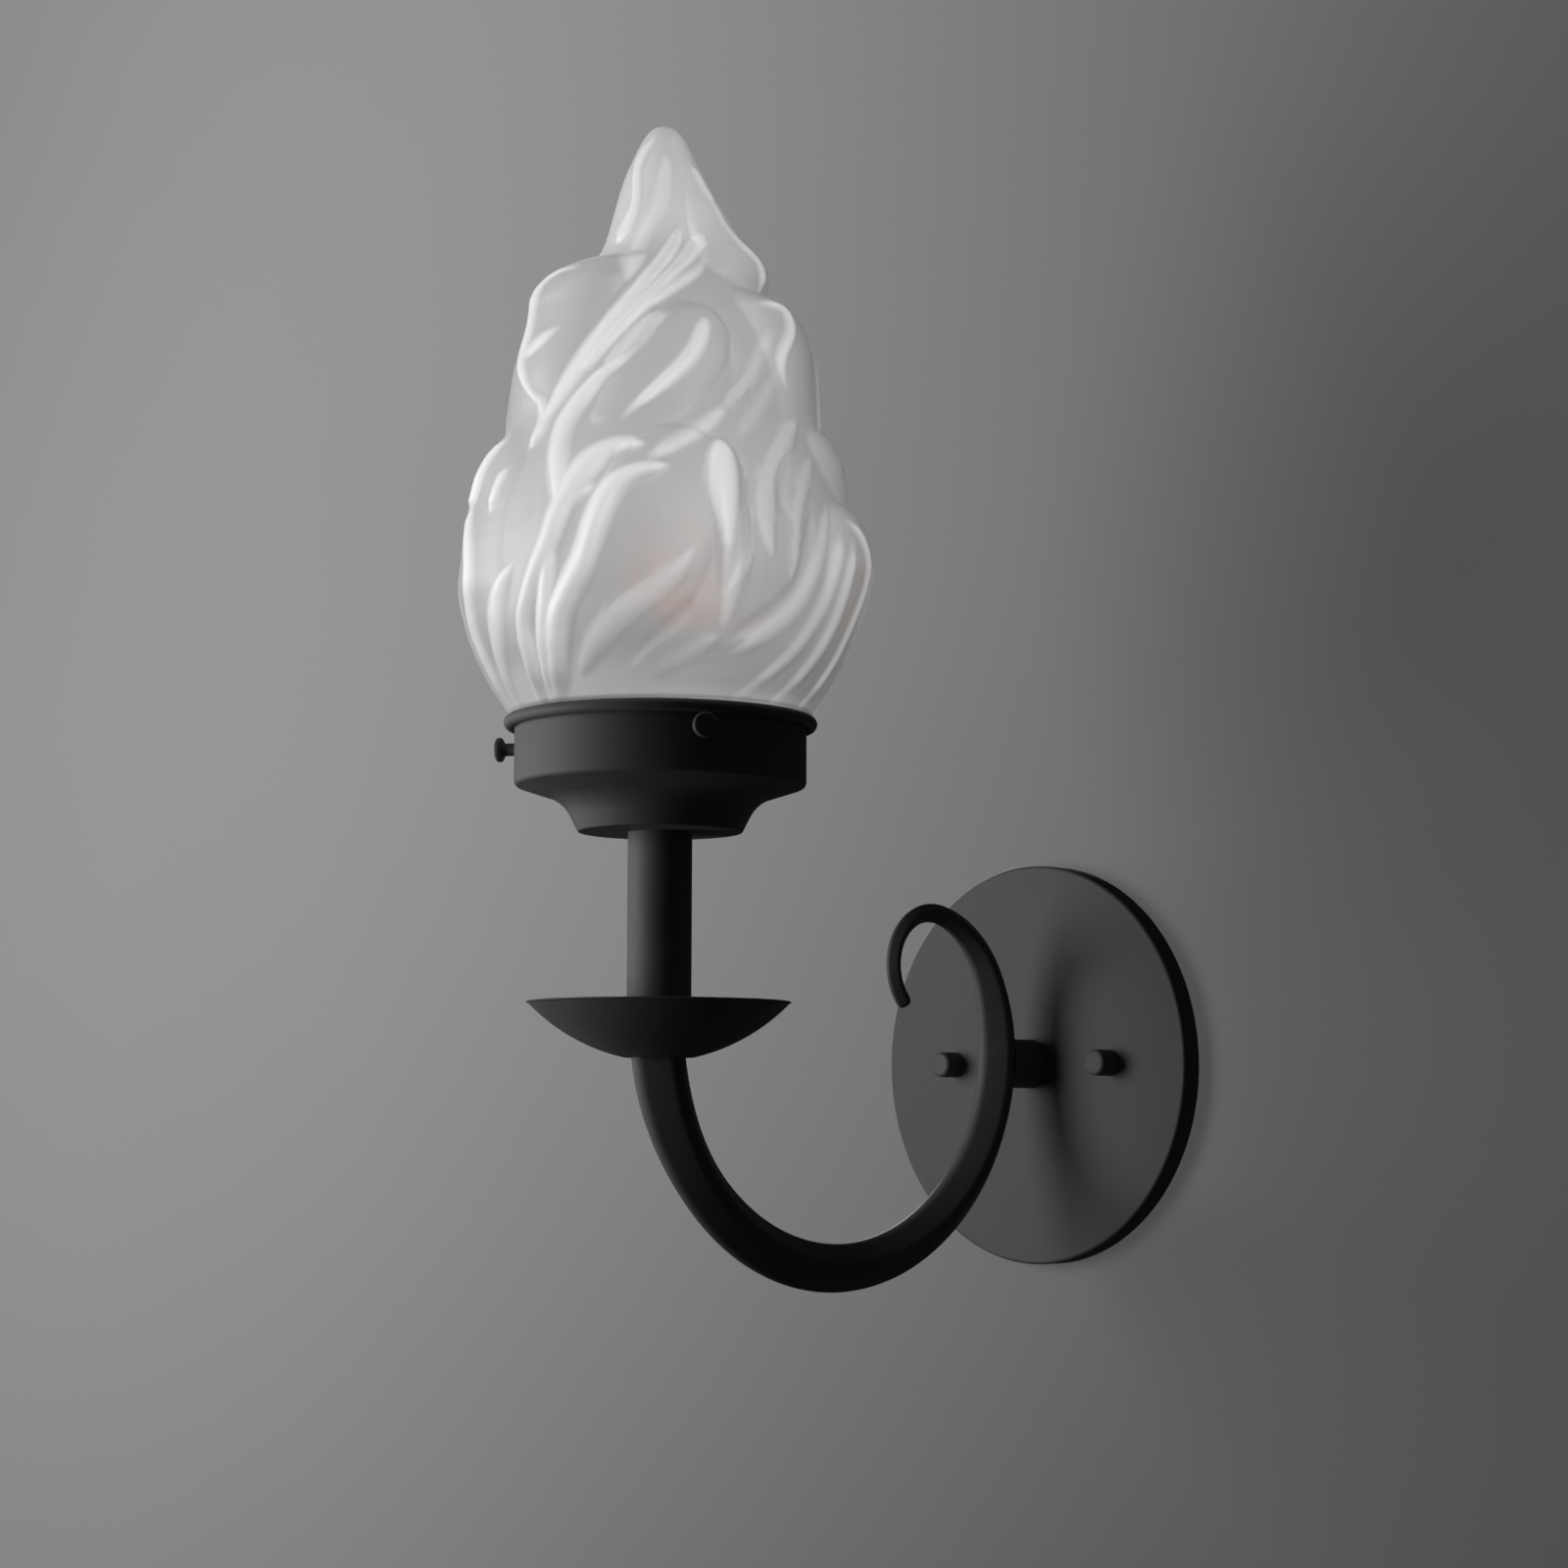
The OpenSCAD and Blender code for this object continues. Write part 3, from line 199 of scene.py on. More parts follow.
# Broad tongues. A row is height, direction, reach over the valley, half width in degrees
FLAME_LOBES = [
    [(104, -70, 0, 26), (112, -74, 0.3, 28), (118, -77, 0.8, 30), (131, -82, 2.2, 33),
     (141, -84, 3.3, 35), (150, -85, 3.2, 35), (160, -84, 3.3, 34), (166, -83, 3.9, 34),
     (173, -81, 4.6, 33), (178, -79, 4.2, 30), (182, -77, 2.8, 26), (185, -75, 1.2, 20),
     (187, -74, 0, 12)],
    [(184, -112, 0, 20), (190, -110, 1.4, 26), (196, -108, 3.0, 30), (204, -105, 4.2, 32),
     (212, -102, 4.2, 30), (220, -98, 3.0, 26), (226, -96, 0, 18)],
    [(184, -54, 0, 14), (190, -60, 0.9, 22), (196, -64, 2.6, 28), (204, -66, 4.2, 34),
     (211, -68, 4.8, 40), (218, -70, 5.6, 44), (224, -70, 7.0, 48), (228, -69, 8.6, 50),
     (232, -67, 9.4, 52), (236, -64, 9.2, 52), (238, -60, 7.8, 50), (240, -56, 4.4, 46),
     (241.5, -50, 0, 36)],
    [(104, 66, 0, 24), (116, 74, 0.7, 28), (125, 80, 1.6, 30), (137, 86, 4.1, 32),
     (149, 90, 6.6, 34), (156, 91, 6.5, 33), (161, 90, 5.2, 30), (164.5, 88, 3.0, 24),
     (166.6, 86, 0, 14)],
    [(154, 96, 0, 20), (164, 96, 1.6, 26), (174, 92, 4.1, 30), (180, 88, 4.9, 30),
     (185, 84, 4.2, 26), (188, 82, 2.2, 20), (189.8, 80, 0, 10)],
    [(176, 58, 0, 16), (188, 64, 1.4, 20), (198, 70, 3.0, 24), (206, 73, 4.8, 28),
     (214, 74, 6.6, 32), (220, 72, 7.2, 33), (224, 69, 7.4, 33), (227, 66, 5.8, 30),
     (229, 63, 3.0, 25), (230.4, 60, 0, 18)],
    [(176, 116, 0, 18), (188, 112, 2.2, 24), (198, 108, 4.8, 28), (207, 104, 6.4, 30),
     (215, 100, 7.6, 30), (220, 98, 7.0, 26), (223.5, 96, 3.6, 20), (225.5, 96, 0, 14)],
    [(230.5, 70, 0, 34), (233, 72, 2.8, 42), (236, 74, 6.0, 48), (240, 76, 8.6, 52),
     (244, 76, 9.6, 52), (248, 75, 8.4, 52), (253, 72, 6.2, 50), (259, 68, 4.6, 46),
     (266, 64, 2.2, 42), (274, 60, 0.8, 38), (280, 58, 0, 34)],
    [(246, -60, 0, 40), (252, -64, 0.6, 46), (262, -64, 0.8, 46), (270, -60, 0.6, 40),
     (278, -60, 0, 30)],
    [(104, 180, 0, 22), (130, 186, 2.9, 28), (158, 194, 4.8, 30), (172, 198, 3.0, 22),
     (176, 200, 0, 12)],
    [(158, -134, 0, 18), (180, -132, 3.8, 26), (200, -128, 4.8, 28), (210, -124, 2.8, 20),
     (214, -122, 0, 12)],
]
# Plates with a rounded rim: half width, reach at the root, reach at the tip, and a middle line of
# (direction, height)
FLAME_PLATES = {
    "finger": (6.3, 0.3, 4.0, [(19, 118), (21, 136), (20, 150), (19, 162), (18, 177)]),
    "low_front": (19, 0.2, 2.2, [(-18, 106), (-8, 130), (-2, 155), (10, 180)]),
    "high_front": (14, 0.5, 2.0, [(-24, 168), (-8, 190), (8, 207), (20, 220)]),
}
# Ribs of the glass, and grooves where the height is below 0: height, tone, and a line of
# (direction, height on the flame, half width). The tone is partly the whiter thick glass and partly a
# painted highlight; below 0 it is painted shade in a groove.
FLAME_RIBS = {
    "tip_left": (1.1, 1.0, [(-21, 283, 0.4), (-34, 279, 1.2), (-47, 275, 1.9), (-43, 270, 1.4),
        (-34, 262, 1.2), (-32, 258, 1.4), (-37, 254, 2.1), (-44, 251, 2.8), (-43, 247, 1.5),
        (-45, 246, 0.5)]),
    "tip_front": (0.9, 0.6, [(5, 275, 0.8), (3, 268, 1.7), (1, 263, 2.2), (-3, 258, 2.3),
        (-10, 253, 2.4), (-18, 249, 2.5), (-21, 244, 2.6), (-18, 237, 2.1), (-18, 233, 1.3),
        (-19, 230, 0.4)]),
    "crest_a": (1.6, 1.0, [(14, 249, 0.7), (9, 245, 1.4), (2, 239, 1.8), (-4, 234, 2.0),
        (-10, 228, 2.2), (-16, 221, 2.5), (-23, 215, 2.7), (-28, 209, 2.6), (-33, 202, 2.6),
        (-37, 197, 2.5), (-41, 192, 2.1), (-44, 187, 1.6)]),
    "crest_b": (1.8, 1.0, [(30, 247, 0.8), (25, 244, 1.8), (16, 239, 1.9), (7, 234, 1.8),
        (-1, 228, 1.9), (-9, 222, 2.2), (-17, 215, 2.3), (-24, 208, 2.1), (-30, 202, 1.6)]),
    "crest_c": (1.4, 0.75, [(27, 238, 0.5), (18, 233, 1.5), (8, 229, 1.8), (0, 225, 1.7),
        (-7, 221, 1.2)]),
    "hook": (1.4, 0.45, [(1, 217, 0.6), (-3, 216, 1.8), (-7, 214, 2.5), (-10, 210, 3.0),
        (-15, 206, 2.9), (-19, 202, 2.3)]),
    "hook_edge": (2.2, 1.0, [(-10, 206, 0.4), (-14, 203, 0.8), (-19, 200, 1.3), (-24, 198, 1.7),
        (-27, 194, 2.2), (-30, 191, 2.7), (-33, 187, 3.0), (-35, 183, 3.2), (-35, 178, 3.1),
        (-34, 172, 3.2), (-32, 167, 2.9), (-32, 163, 2.2), (-31, 159, 1.2), (-31, 157, 0.3)]),
    "tongue_vein": (1.3, 0.95, [(17, 215, 0.9), (16, 212, 1.6), (14, 208, 1.8), (10, 203, 1.8),
        (4, 198, 1.6), (-1, 194, 1.4), (-6, 190, 1.1), (-10, 187, 0.7), (-13, 184, 0.3)]),
    "left_edge": (1.6, 1.0, [(-47, 235, 0.6), (-62, 236, 1.4), (-69, 233, 1.9), (-72, 228, 2.0),
        (-69, 223, 1.7), (-64, 217, 1.6), (-68, 213, 1.7), (-66, 207, 1.7), (-61, 200, 1.2),
        (-54, 195, 0.8), (-47, 190, 0.9)]),
    "left_vein": (0.9, 0.7, [(-46, 215, 0.4), (-52, 213, 1.7), (-59, 211, 2.0), (-65, 209, 0.9)]),
    "left_foot": (1.6, 0.8, [(-52, 195, 0.5), (-47, 190, 1.9), (-44, 185, 2.7), (-46, 182, 2.5),
        (-48, 179, 0.9)]),
    "sweep_left": (2.6, 1.0, [(-7, 175, 0.7), (-9, 176, 1.9), (-13, 175, 2.3), (-18, 174, 2.8),
        (-22, 171, 3.6), (-25, 167, 3.8), (-28, 163, 3.5), (-30, 158, 3.1), (-32, 154, 3.1),
        (-33, 149, 3.1), (-35, 144, 3.1), (-38, 140, 2.9), (-40, 134, 2.7), (-43, 129, 2.6),
        (-45, 123, 2.5), (-45, 117, 2.4), (-46, 111, 2.1), (-49, 100, 1.6)]),
    "sweep_fork": (1.8, 1.0, [(-33, 146, 0.9), (-34, 141, 2.2), (-34, 136, 2.4), (-35, 131, 2.3),
        (-36, 126, 2.1), (-38, 120, 1.9), (-39, 114, 1.7), (-44, 100, 1.4)]),
    "sweep_branch": (1.2, 0.7, [(-20, 163, 0.4), (-22, 162, 1.3), (-26, 160, 1.8), (-29, 157, 1.3)]),
    "sweep_right": (2.6, 1.0, [(1, 168, 0.4), (-3, 168, 1.5), (-7, 166, 2.0), (-11, 165, 2.4),
        (-15, 162, 3.0), (-17, 157, 3.2), (-19, 152, 3.2), (-20, 147, 3.1), (-22, 142, 3.1),
        (-24, 136, 3.3), (-28, 131, 3.2), (-31, 126, 3.2), (-33, 120, 3.1), (-34, 114, 2.8),
        (-36, 109, 2.6), (-41, 100, 2.0)]),
    "root_mid": (1.4, 0.95, [(-45, 131, 0.5), (-45, 126, 1.2), (-43, 122, 1.5), (-43, 116, 1.8),
        (-51, 100, 1.6)]),
    "root_left": (1.5, 1.0, [(-48, 142, 0.5), (-51, 139, 1.7), (-54, 134, 2.8), (-57, 128, 3.3),
        (-58, 122, 3.0), (-61, 117, 2.5), (-63, 111, 1.9), (-66, 100, 1.2)]),
    "low_left_top": (1.7, 1.0, [(-63, 182, 0.7), (-66, 180, 1.9), (-69, 176, 2.2), (-71, 171, 2.2),
        (-73, 166, 1.9), (-74, 163, 0.7)]),
    "low_left_vein": (1.2, 0.8, [(-55, 172, 0.4), (-57, 169, 1.9), (-59, 164, 2.0), (-60, 161, 0.9)]),
    "low_left_edge": (1.8, 1.0, [(-74, 163, 0.7), (-73, 157, 1.9), (-71, 150, 2.5), (-68, 141, 2.6),
        (-71, 133, 2.6), (-73, 125, 2.6), (-72, 117, 2.6), (-73, 110, 2.2), (-74, 100, 1.6)]),
    "finger_face": (0.8, 0.9, [(18, 174, 2.6), (17, 171, 3.5), (17, 165, 3.7), (17, 159, 3.3),
        (18, 153, 2.3), (18, 147, 1.2), (19, 142, 0.4)]),
    "finger_body": (0.5, 0.4, [(18, 164, 2.2), (19, 154, 3.0), (20, 144, 3.0), (20, 134, 2.6),
        (19, 126, 1.6), (18, 121, 0.5)]),
    "finger_line": (0.7, 0.6, [(23, 172, 0.4), (25, 164, 0.6), (26, 155, 0.7), (27, 147, 0.7),
        (25, 140, 0.6), (22, 134, 0.3)]),
    "finger_groove": (-1.0, -0.8, [(23, 173, 0.3), (24, 167, 1.2), (23, 159, 1.4), (23, 151, 1.7),
        (22, 143, 1.7), (20, 136, 1.1), (18, 132, 0.3)]),
    "under_plate": (1.0, 0.55, [(22, 188, 0.5), (18, 185, 1.7), (13, 181, 2.0), (7, 177, 1.9),
        (1, 174, 1.6), (-3, 171, 0.7)]),
    "low_vein": (0.8, 0.4, [(9, 144, 0.3), (6, 139, 1.9), (2, 135, 3.2), (-3, 131, 3.5),
        (-9, 127, 3.7), (-14, 123, 3.7), (-19, 118, 3.3), (-24, 113, 2.4), (-27, 109, 0.8)]),
    "low_groove": (-0.9, -0.6, [(9, 130, 0.3), (7, 126, 1.5), (3, 122, 1.7), (-2, 119, 1.6),
        (-7, 115, 1.2), (-10, 111, 0.3)]),
    "low_vein_2": (0.6, 0.25, [(18, 120, 0.4), (14, 117, 2.0), (9, 114, 2.4), (3, 111, 2.2),
        (-1, 108, 0.8)]),
    "right_1": (0.9, 0.35, [(54, 188, 0.7), (46, 182, 3.1), (39, 174, 3.8), (33, 166, 3.8),
        (31, 159, 3.5), (31, 153, 2.7), (32, 147, 1.6), (33, 142, 0.4)]),
    "right_groove": (-1.0, -0.8, [(46, 177, 0.4), (40, 170, 1.6), (37, 163, 1.9), (38, 158, 1.5),
        (40, 155, 0.3)]),
    "right_2": (0.7, 0.25, [(58, 177, 0.6), (50, 169, 2.6), (44, 161, 2.8), (42, 154, 2.4),
        (42, 148, 2.0), (41, 141, 1.5), (39, 135, 0.5)]),
    "right_groove_2": (-0.8, -0.7, [(50, 159, 0.4), (48, 152, 1.8), (46, 145, 2.1), (44, 138, 2.0),
        (39, 132, 1.9), (33, 127, 1.9), (27, 123, 1.8), (21, 119, 0.4)]),
    "right_3": (0.8, 0.35, [(60, 162, 0.6), (55, 153, 2.1), (52, 144, 2.4), (48, 137, 2.5),
        (44, 130, 2.7), (38, 124, 2.5), (31, 119, 2.1), (23, 115, 0.6)]),
    "right_4": (0.9, 0.4, [(62, 154, 0.4), (60, 146, 1.9), (57, 137, 2.2), (54, 129, 2.4),
        (49, 122, 2.3), (45, 115, 2.1), (38, 110, 1.6), (28, 101, 0.8)]),
    "right_5": (1.0, 0.5, [(67, 152, 0.4), (65, 143, 1.7), (63, 135, 2.0), (62, 127, 2.2),
        (59, 120, 2.3), (55, 113, 2.1), (46, 100, 1.4)]),
    "right_rim": (1.1, 0.75, [(67, 159, 0.4), (73, 159, 1.3), (73, 154, 1.6), (77, 147, 1.7),
        (76, 139, 1.7), (74, 131, 1.9), (72, 122, 1.9), (69, 112, 1.7), (64, 100, 1.2)]),
    "tip_right": (1.2, 0.7, [(44, 273, 0.4), (47, 269, 1.5), (50, 264, 1.7), (52, 259, 0.9),
        (55, 255, 1.0), (54, 248, 1.2), (57, 243, 1.4), (66, 241, 1.4), (67, 236, 1.4),
        (67, 232, 0.6)]),
    "high_right_edge": (1.3, 0.7, [(47, 224, 0.4), (54, 225, 1.4), (61, 224, 1.6), (61, 219, 1.6),
        (57, 214, 1.4), (52, 209, 1.2), (51, 204, 0.9), (52, 199, 0.4)]),
    "high_right_1": (0.6, 0.3, [(48, 215, 0.5), (44, 208, 1.8), (36, 200, 2.0), (27, 193, 1.9),
        (20, 187, 0.5)]),
    "high_right_2": (0.5, 0.2, [(49, 202, 0.5), (42, 194, 2.0), (33, 187, 2.0), (25, 179, 0.5)]),
    "bubble": (0.8, 0.6, [(-24, 186, 0.3), (-24, 184, 0.5), (-22, 183, 0.5), (-20, 184, 0.3)]),
    "side_left": (0.5, 0.5, [(-88, 177, 0.5), (-91, 168, 1.8), (-93, 155, 2.4), (-92, 140, 2.6),
        (-90, 125, 2.4), (-89, 112, 1.8), (-88, 100, 1.0)]),
    "side_left_low": (0.4, 0.4, [(-82, 150, 0.5), (-84, 140, 1.8), (-85, 126, 2.2), (-82, 112, 1.7),
        (-80, 100, 1.0)]),
    "side_left_high": (0.5, 0.5, [(-84, 232, 0.5), (-92, 224, 1.8), (-98, 212, 2.2), (-99, 200, 2.0),
        (-95, 190, 1.4), (-91, 183, 0.4)]),
    "side_right": (0.5, 0.5, [(86, 162, 0.5), (92, 152, 2.0), (93, 138, 2.5), (89, 122, 2.4),
        (84, 108, 1.8), (80, 100, 1.0)]),
    "side_right_high": (0.5, 0.4, [(80, 222, 0.5), (88, 212, 1.9), (92, 200, 2.2), (90, 188, 1.9),
        (85, 178, 0.5)]),
    "tongue_groove": (-0.8, -0.7, [(24, 213, 0.3), (27, 209, 0.9), (28, 203, 1.2), (26, 197, 1.0),
        (22, 194, 0.4)]),
}
FLAME_FOOT, FLAME_TOP = FLAME_BODY[0, 0], FLAME_BODY[-1, 0]
# Over how many millimetres the lobes, the plates and the ribs run into what they stand on
LOBE_BLEND, PLATE_BLEND, RIB_BLEND = 0.6, 0.8, 0.3
# What the blend adds on bare ground, which comes off again
LOBE_GROUND, RIB_GROUND = 0.15, 0.08
# Every rib stands this much higher than its row says, and starts at this share of it at the foot
RIB_GAIN, RIB_FOOT = 1.05, 0.3


def flame_valley(z):
    """Radius of the flame between its tongues at the height z."""
    return smooth_line(z, FLAME_BODY[:, 0], FLAME_BODY[:, 1])


# Heights of the valley line, and the length along it up to each
LINE_Z = np.linspace(FLAME_FOOT, FLAME_TOP, 1500)
LINE_ARC = np.concatenate([[0], np.cumsum(np.hypot(np.diff(LINE_Z), np.diff(flame_valley(LINE_Z))))])


def flame_arc(z):
    """Length along the valley line from the foot to the height z."""
    return np.interp(z, LINE_Z, LINE_ARC)


def with_back(features, front=78):
    """The features, and once more, half a turn further round, those that lie within front degrees of
    the flame's front."""
    made = list(features.values())
    for *sizes, line in features.values():
        if all(abs(point[0]) <= front for point in line):
            made.append((*sizes, [(point[0] + 180, *point[1:]) for point in line]))
    return made


def distance_to_line(turn, z, line, reach):
    """Mask of the grid points near a line on the flame, with their distance from it in millimetres,
    measured round the body and along its valley line, the share of the line's length there, and its
    last column there. The line is a smoothed curve through its points, cut into short straight pieces,
    and the distance is the least of those to the pieces."""
    p = np.array(line, float)
    # A degree round the flame is about 0.8 mm
    t = np.concatenate([[0], np.cumsum(np.hypot(np.diff(p[:, 0]) * 0.8, np.diff(p[:, 1])))])
    share = np.linspace(0, 1, 6 * len(p))
    at_turn = smoothed(smooth_line(share, t / t[-1], p[:, 0]))
    at_arc = smoothed(flame_arc(smooth_line(share, t / t[-1], p[:, 1])))
    arc, radius = flame_arc(z), np.maximum(flame_valley(z), 2.5)
    middle, half = (at_turn.min() + at_turn.max()) / 2, (at_turn.max() - at_turn.min()) / 2
    mask = np.abs(turn_apart(turn - middle)) < half + np.degrees(reach / radius)
    mask &= (arc > at_arc.min() - reach) & (arc < at_arc.max() + reach)
    x0, y0, scale = turn[mask], arc[mask], np.radians(radius[mask])
    best, along = np.full(x0.shape, 1e9), np.zeros(x0.shape)
    for i in range(len(share) - 1):
        px, py = turn_apart(x0 - at_turn[i]) * scale, y0 - at_arc[i]
        vx, vy = (at_turn[i + 1] - at_turn[i]) * scale, at_arc[i + 1] - at_arc[i]
        k = np.clip((px * vx + py * vy) / (vx * vx + vy * vy + 1e-9), 0, 1)
        d = (px - k * vx) ** 2 + (py - k * vy) ** 2
        near = d < best
        best = np.where(near, d, best)
        along = np.where(near, share[i] + k * (share[i + 1] - share[i]), along)
    return mask, np.sqrt(best), along, smooth_line(along, t / t[-1], p[:, -1])


def flame_surface(turn, z):
    """Radius of the glass's outer side, and its whiteness with painted light. Over the valley stands the
    soft maximum of the lobes, each its reach times one less the cube of the share of its half width,
    and of the plates, each a flat top with a rounded rim. The ribs are added on top: a steep-sided crest
    on a wider, lower bell, both as wide as the rib is at the nearest point of its line. The whiteness is
    each rib's tone times a band a little wider than its crest: partly the whiter thick glass and partly a
    painted highlight, and in the grooves painted shade. It rises evenly towards the tip and, on two
    opposite sides, towards the foot, where it is painted light alone."""
    up = np.zeros(z.shape)
    for rows in FLAME_LOBES:
        rows = np.array(rows, float)
        at = [smooth_line(z, rows[:, 0], rows[:, k]) for k in (1, 2, 3)]
        across = np.abs(turn_apart(turn - at[0])) / at[2]
        inside = (z > rows[0, 0]) & (z < rows[-1, 0])
        up = soft_max(up, np.where(inside, at[1] * np.clip(1 - across**3, 0, 1), 0), LOBE_BLEND)
    up = np.maximum(up - LOBE_GROUND, 0)
    for width, low, high, line in with_back(FLAME_PLATES):
        mask, d, t, _ = distance_to_line(turn, z, line, width * 1.1)
        tip = np.clip((t - 0.68) / 0.32, 0, 1)
        half = width * (0.5 + 0.5 * ease(t / 0.55)) * np.sqrt(np.clip(1 - tip**2.4, 0, 1))
        inward = np.clip((half - d) / min(6.0, 0.7 * width), 0, 1)
        rim = np.sqrt(np.clip(1 - (1 - inward) ** 2.2, 0, 1))
        up[mask] = soft_max(up[mask], (low + (high - low) * ease(t * 1.1)) * rim, PLATE_BLEND)
    rib, groove, white = np.zeros(z.shape), np.zeros(z.shape), np.zeros(z.shape)
    for height, tone, line in with_back(FLAME_RIBS):
        widest = max(point[2] for point in line)
        mask, d, t, half = distance_to_line(turn, z, line, widest * 3 + 1)
        crest = (1 - np.clip(d / (1.4 * half + 0.4), 0, 1) ** 2) ** 1.5
        bell = (0.8 * crest + 0.2 * np.exp(-((d / (2.2 * half + 0.5)) ** 2))) * np.minimum(1, half / 1.6)
        band = (1 - np.clip(d / (1.4 * half + 0.9), 0, 1) ** 2) ** 1.4 * np.minimum(1, half / 1.2) * tone
        # A rib's band is partly the whiter colour of its thick glass and partly a painted highlight; a
        # groove's band, below 0, is painted shade
        if height > 0:
            foot = RIB_FOOT + (1 - RIB_FOOT) * ease((z[mask] - FLAME_FOOT) / 9)
            rib[mask] = soft_max(rib[mask], RIB_GAIN * height * bell * foot, RIB_BLEND)
            white[mask] = np.maximum(white[mask], band)
        else:
            groove[mask] = np.minimum(groove[mask], height * bell)
            white[mask] = np.where(white[mask] > 0.2, white[mask], np.minimum(white[mask], band))
    # Painted light: the glass is painted whiter towards the tip, and at the foot on two opposite sides
    sides = 0.5 - 0.5 * np.sin(np.radians(2 * turn))
    white = np.maximum(white, 0.36 * ease((z - 232) / 20) + 0.8 * sides * ease((122 - z) / 20))
    return flame_valley(z) + up + np.maximum(rib - RIB_GROUND, 0) + groove, white


def flame_glass(name, wall, cols=392, rows=214, inner_rows=18):
    """Closed glass shell. The outer side runs up the neck, over the cup's lip on an arc about its roll,
    and up the flame to its tip; the inner side is the valley line less the wall, and a ring joins both
    at the neck's foot."""
    neck_r, neck_foot, lip_z, lip_r, lip_x = 40.0, 81.70, 100.4, 2.5, 45.5
    a = np.radians(np.array([160, 152, 144, 136, 128]))
    over_lip = np.stack([lip_x + lip_r * np.cos(a), lip_z + lip_r * np.sin(a)], 1)
    neck = np.concatenate([[(neck_r - 0.6, neck_foot), (neck_r, neck_foot + 0.6)],
                           np.stack([np.full(8, neck_r), np.linspace(84, 96.5, 8)], 1), over_lip])
    z_rows = np.interp(np.linspace(0, LINE_ARC[-1], rows + 1)[:-1], LINE_ARC, LINE_Z)
    turn = np.arange(cols) * 360 / cols
    turn_grid, z_grid = np.meshgrid(turn - FLAME_TURN, z_rows)
    radius, white = flame_surface(turn_grid, z_grid)
    outer_r = np.concatenate([np.repeat(neck[:, :1], cols, 1), radius])
    outer_z = np.concatenate([np.repeat(neck[:, 1:], cols, 1), z_grid])
    white = np.concatenate([np.zeros(len(neck) * cols), white.ravel()])
    in_z = np.concatenate([[neck_foot, neck_foot + 6, 96], np.linspace(104, FLAME_TOP - 6, inner_rows)])
    in_r = np.concatenate([[neck_r - wall] * 3, np.maximum(flame_valley(in_z[3:] + 4) - wall, 0.6)])
    inner_r, inner_z = np.repeat(in_r[:, None], cols, 1), np.repeat(in_z[:, None], cols, 1)
    c, s = np.cos(np.radians(turn)), np.sin(np.radians(turn))

    def ring(r, h):
        return np.stack([r * c, r * s, h], -1).reshape(-1, 3)
    outer, inner = ring(outer_r, outer_z), ring(inner_r, inner_z)
    n_out, n_in = len(outer_r), len(inner_r)
    first_in = len(outer)
    poles = np.array([(0, 0, FLAME_TOP + 0.1), (0, 0, FLAME_TOP - 5.6)])
    points = on_torch(np.concatenate([outer, inner, poles]))
    tip, roof = len(points) - 2, len(points) - 1
    k = np.arange(cols)
    foot = np.stack([k, first_in + k, first_in + (k + 1) % cols, (k + 1) % cols], 1)
    faces = [grid_faces(n_out, cols), grid_faces(n_in, cols, first_in)[:, ::-1], foot,
             fan((n_out - 1) * cols + k, tip), fan(first_in + (n_in - 1) * cols + k, roof, flip=True)]
    obj = to_mesh(name, points, faces)
    # The whiter ribs, with their painted highlight, and the grooves' painted shade ride on the mesh as a
    # point attribute
    layer = obj.data.attributes.new("painted_light_and_white", "FLOAT", "POINT")
    white = np.concatenate([white, np.zeros(inner_r.size), white[-1:], [0]])
    layer.data.foreach_set("value", white.astype(np.float32))
    return obj


# ---------------------------------------------------------------- the arm
# Bends of the bar from the dish to the curl: radius, degrees
ARM_BENDS = [(75.6, 126.6), (67.0, 41.1), (67.0, 23.5), (33.2, 55.5), (17.4, 146.5)]
# Heading and Y where the bar passes its post, at the end of the second bend
ARM_POST_HEADING, ARM_POST_Y = 86.0, -24.2
# Side of the square bar under the dish, in the sweep, at the post and at the curl's end
ARM_SIDES = (15.7, 13.1, 12.2, 4.7)
# Lengths over which it thins to the sweep's side, and past the post to the curl's
ARM_THINS = (48, 76)


def arm_path(step=1.2):
    """Places and headings along the bar: circular bends that follow each other in the plane x = 0.
    Columns are y, z, heading in degrees and length travelled."""
    heading = ARM_POST_HEADING - ARM_BENDS[0][1] - ARM_BENDS[1][1]
    y = z = length = 0.0
    rows, post = [], None
    for k, (r, turn) in enumerate(ARM_BENDS):
        n = max(8, round(math.radians(turn) * r / step))
        a = np.radians(heading + turn * np.linspace(0, 1, n + 1)[(k > 0):])
        a0 = math.radians(heading)
        rows.append(np.stack([y + r * (np.sin(a) - math.sin(a0)), z + r * (math.cos(a0) - np.cos(a)),
                              np.degrees(a), length + r * (a - a0)], 1))
        y, z, heading, length = rows[-1][-1]
        if k == 1:
            post = rows[-1][-1].copy()
    path = np.concatenate(rows)
    path[:, 0] += ARM_POST_Y - post[0]
    path[:, 1] -= post[1]
    return path, post[3]


def arm_side(length, post):
    """Side of the square bar: it thins from the dish to the sweep, to the post, and to the curl's end."""
    (top, middle, at_post, tip), (first, last) = ARM_SIDES, ARM_THINS
    sweep = (top + (middle - top) * ease(length / first)
             + (at_post - middle) * ease((length - first) / (post - first)))
    return np.where(length < post, sweep, at_post + (tip - at_post) * ease((length - post) / last))


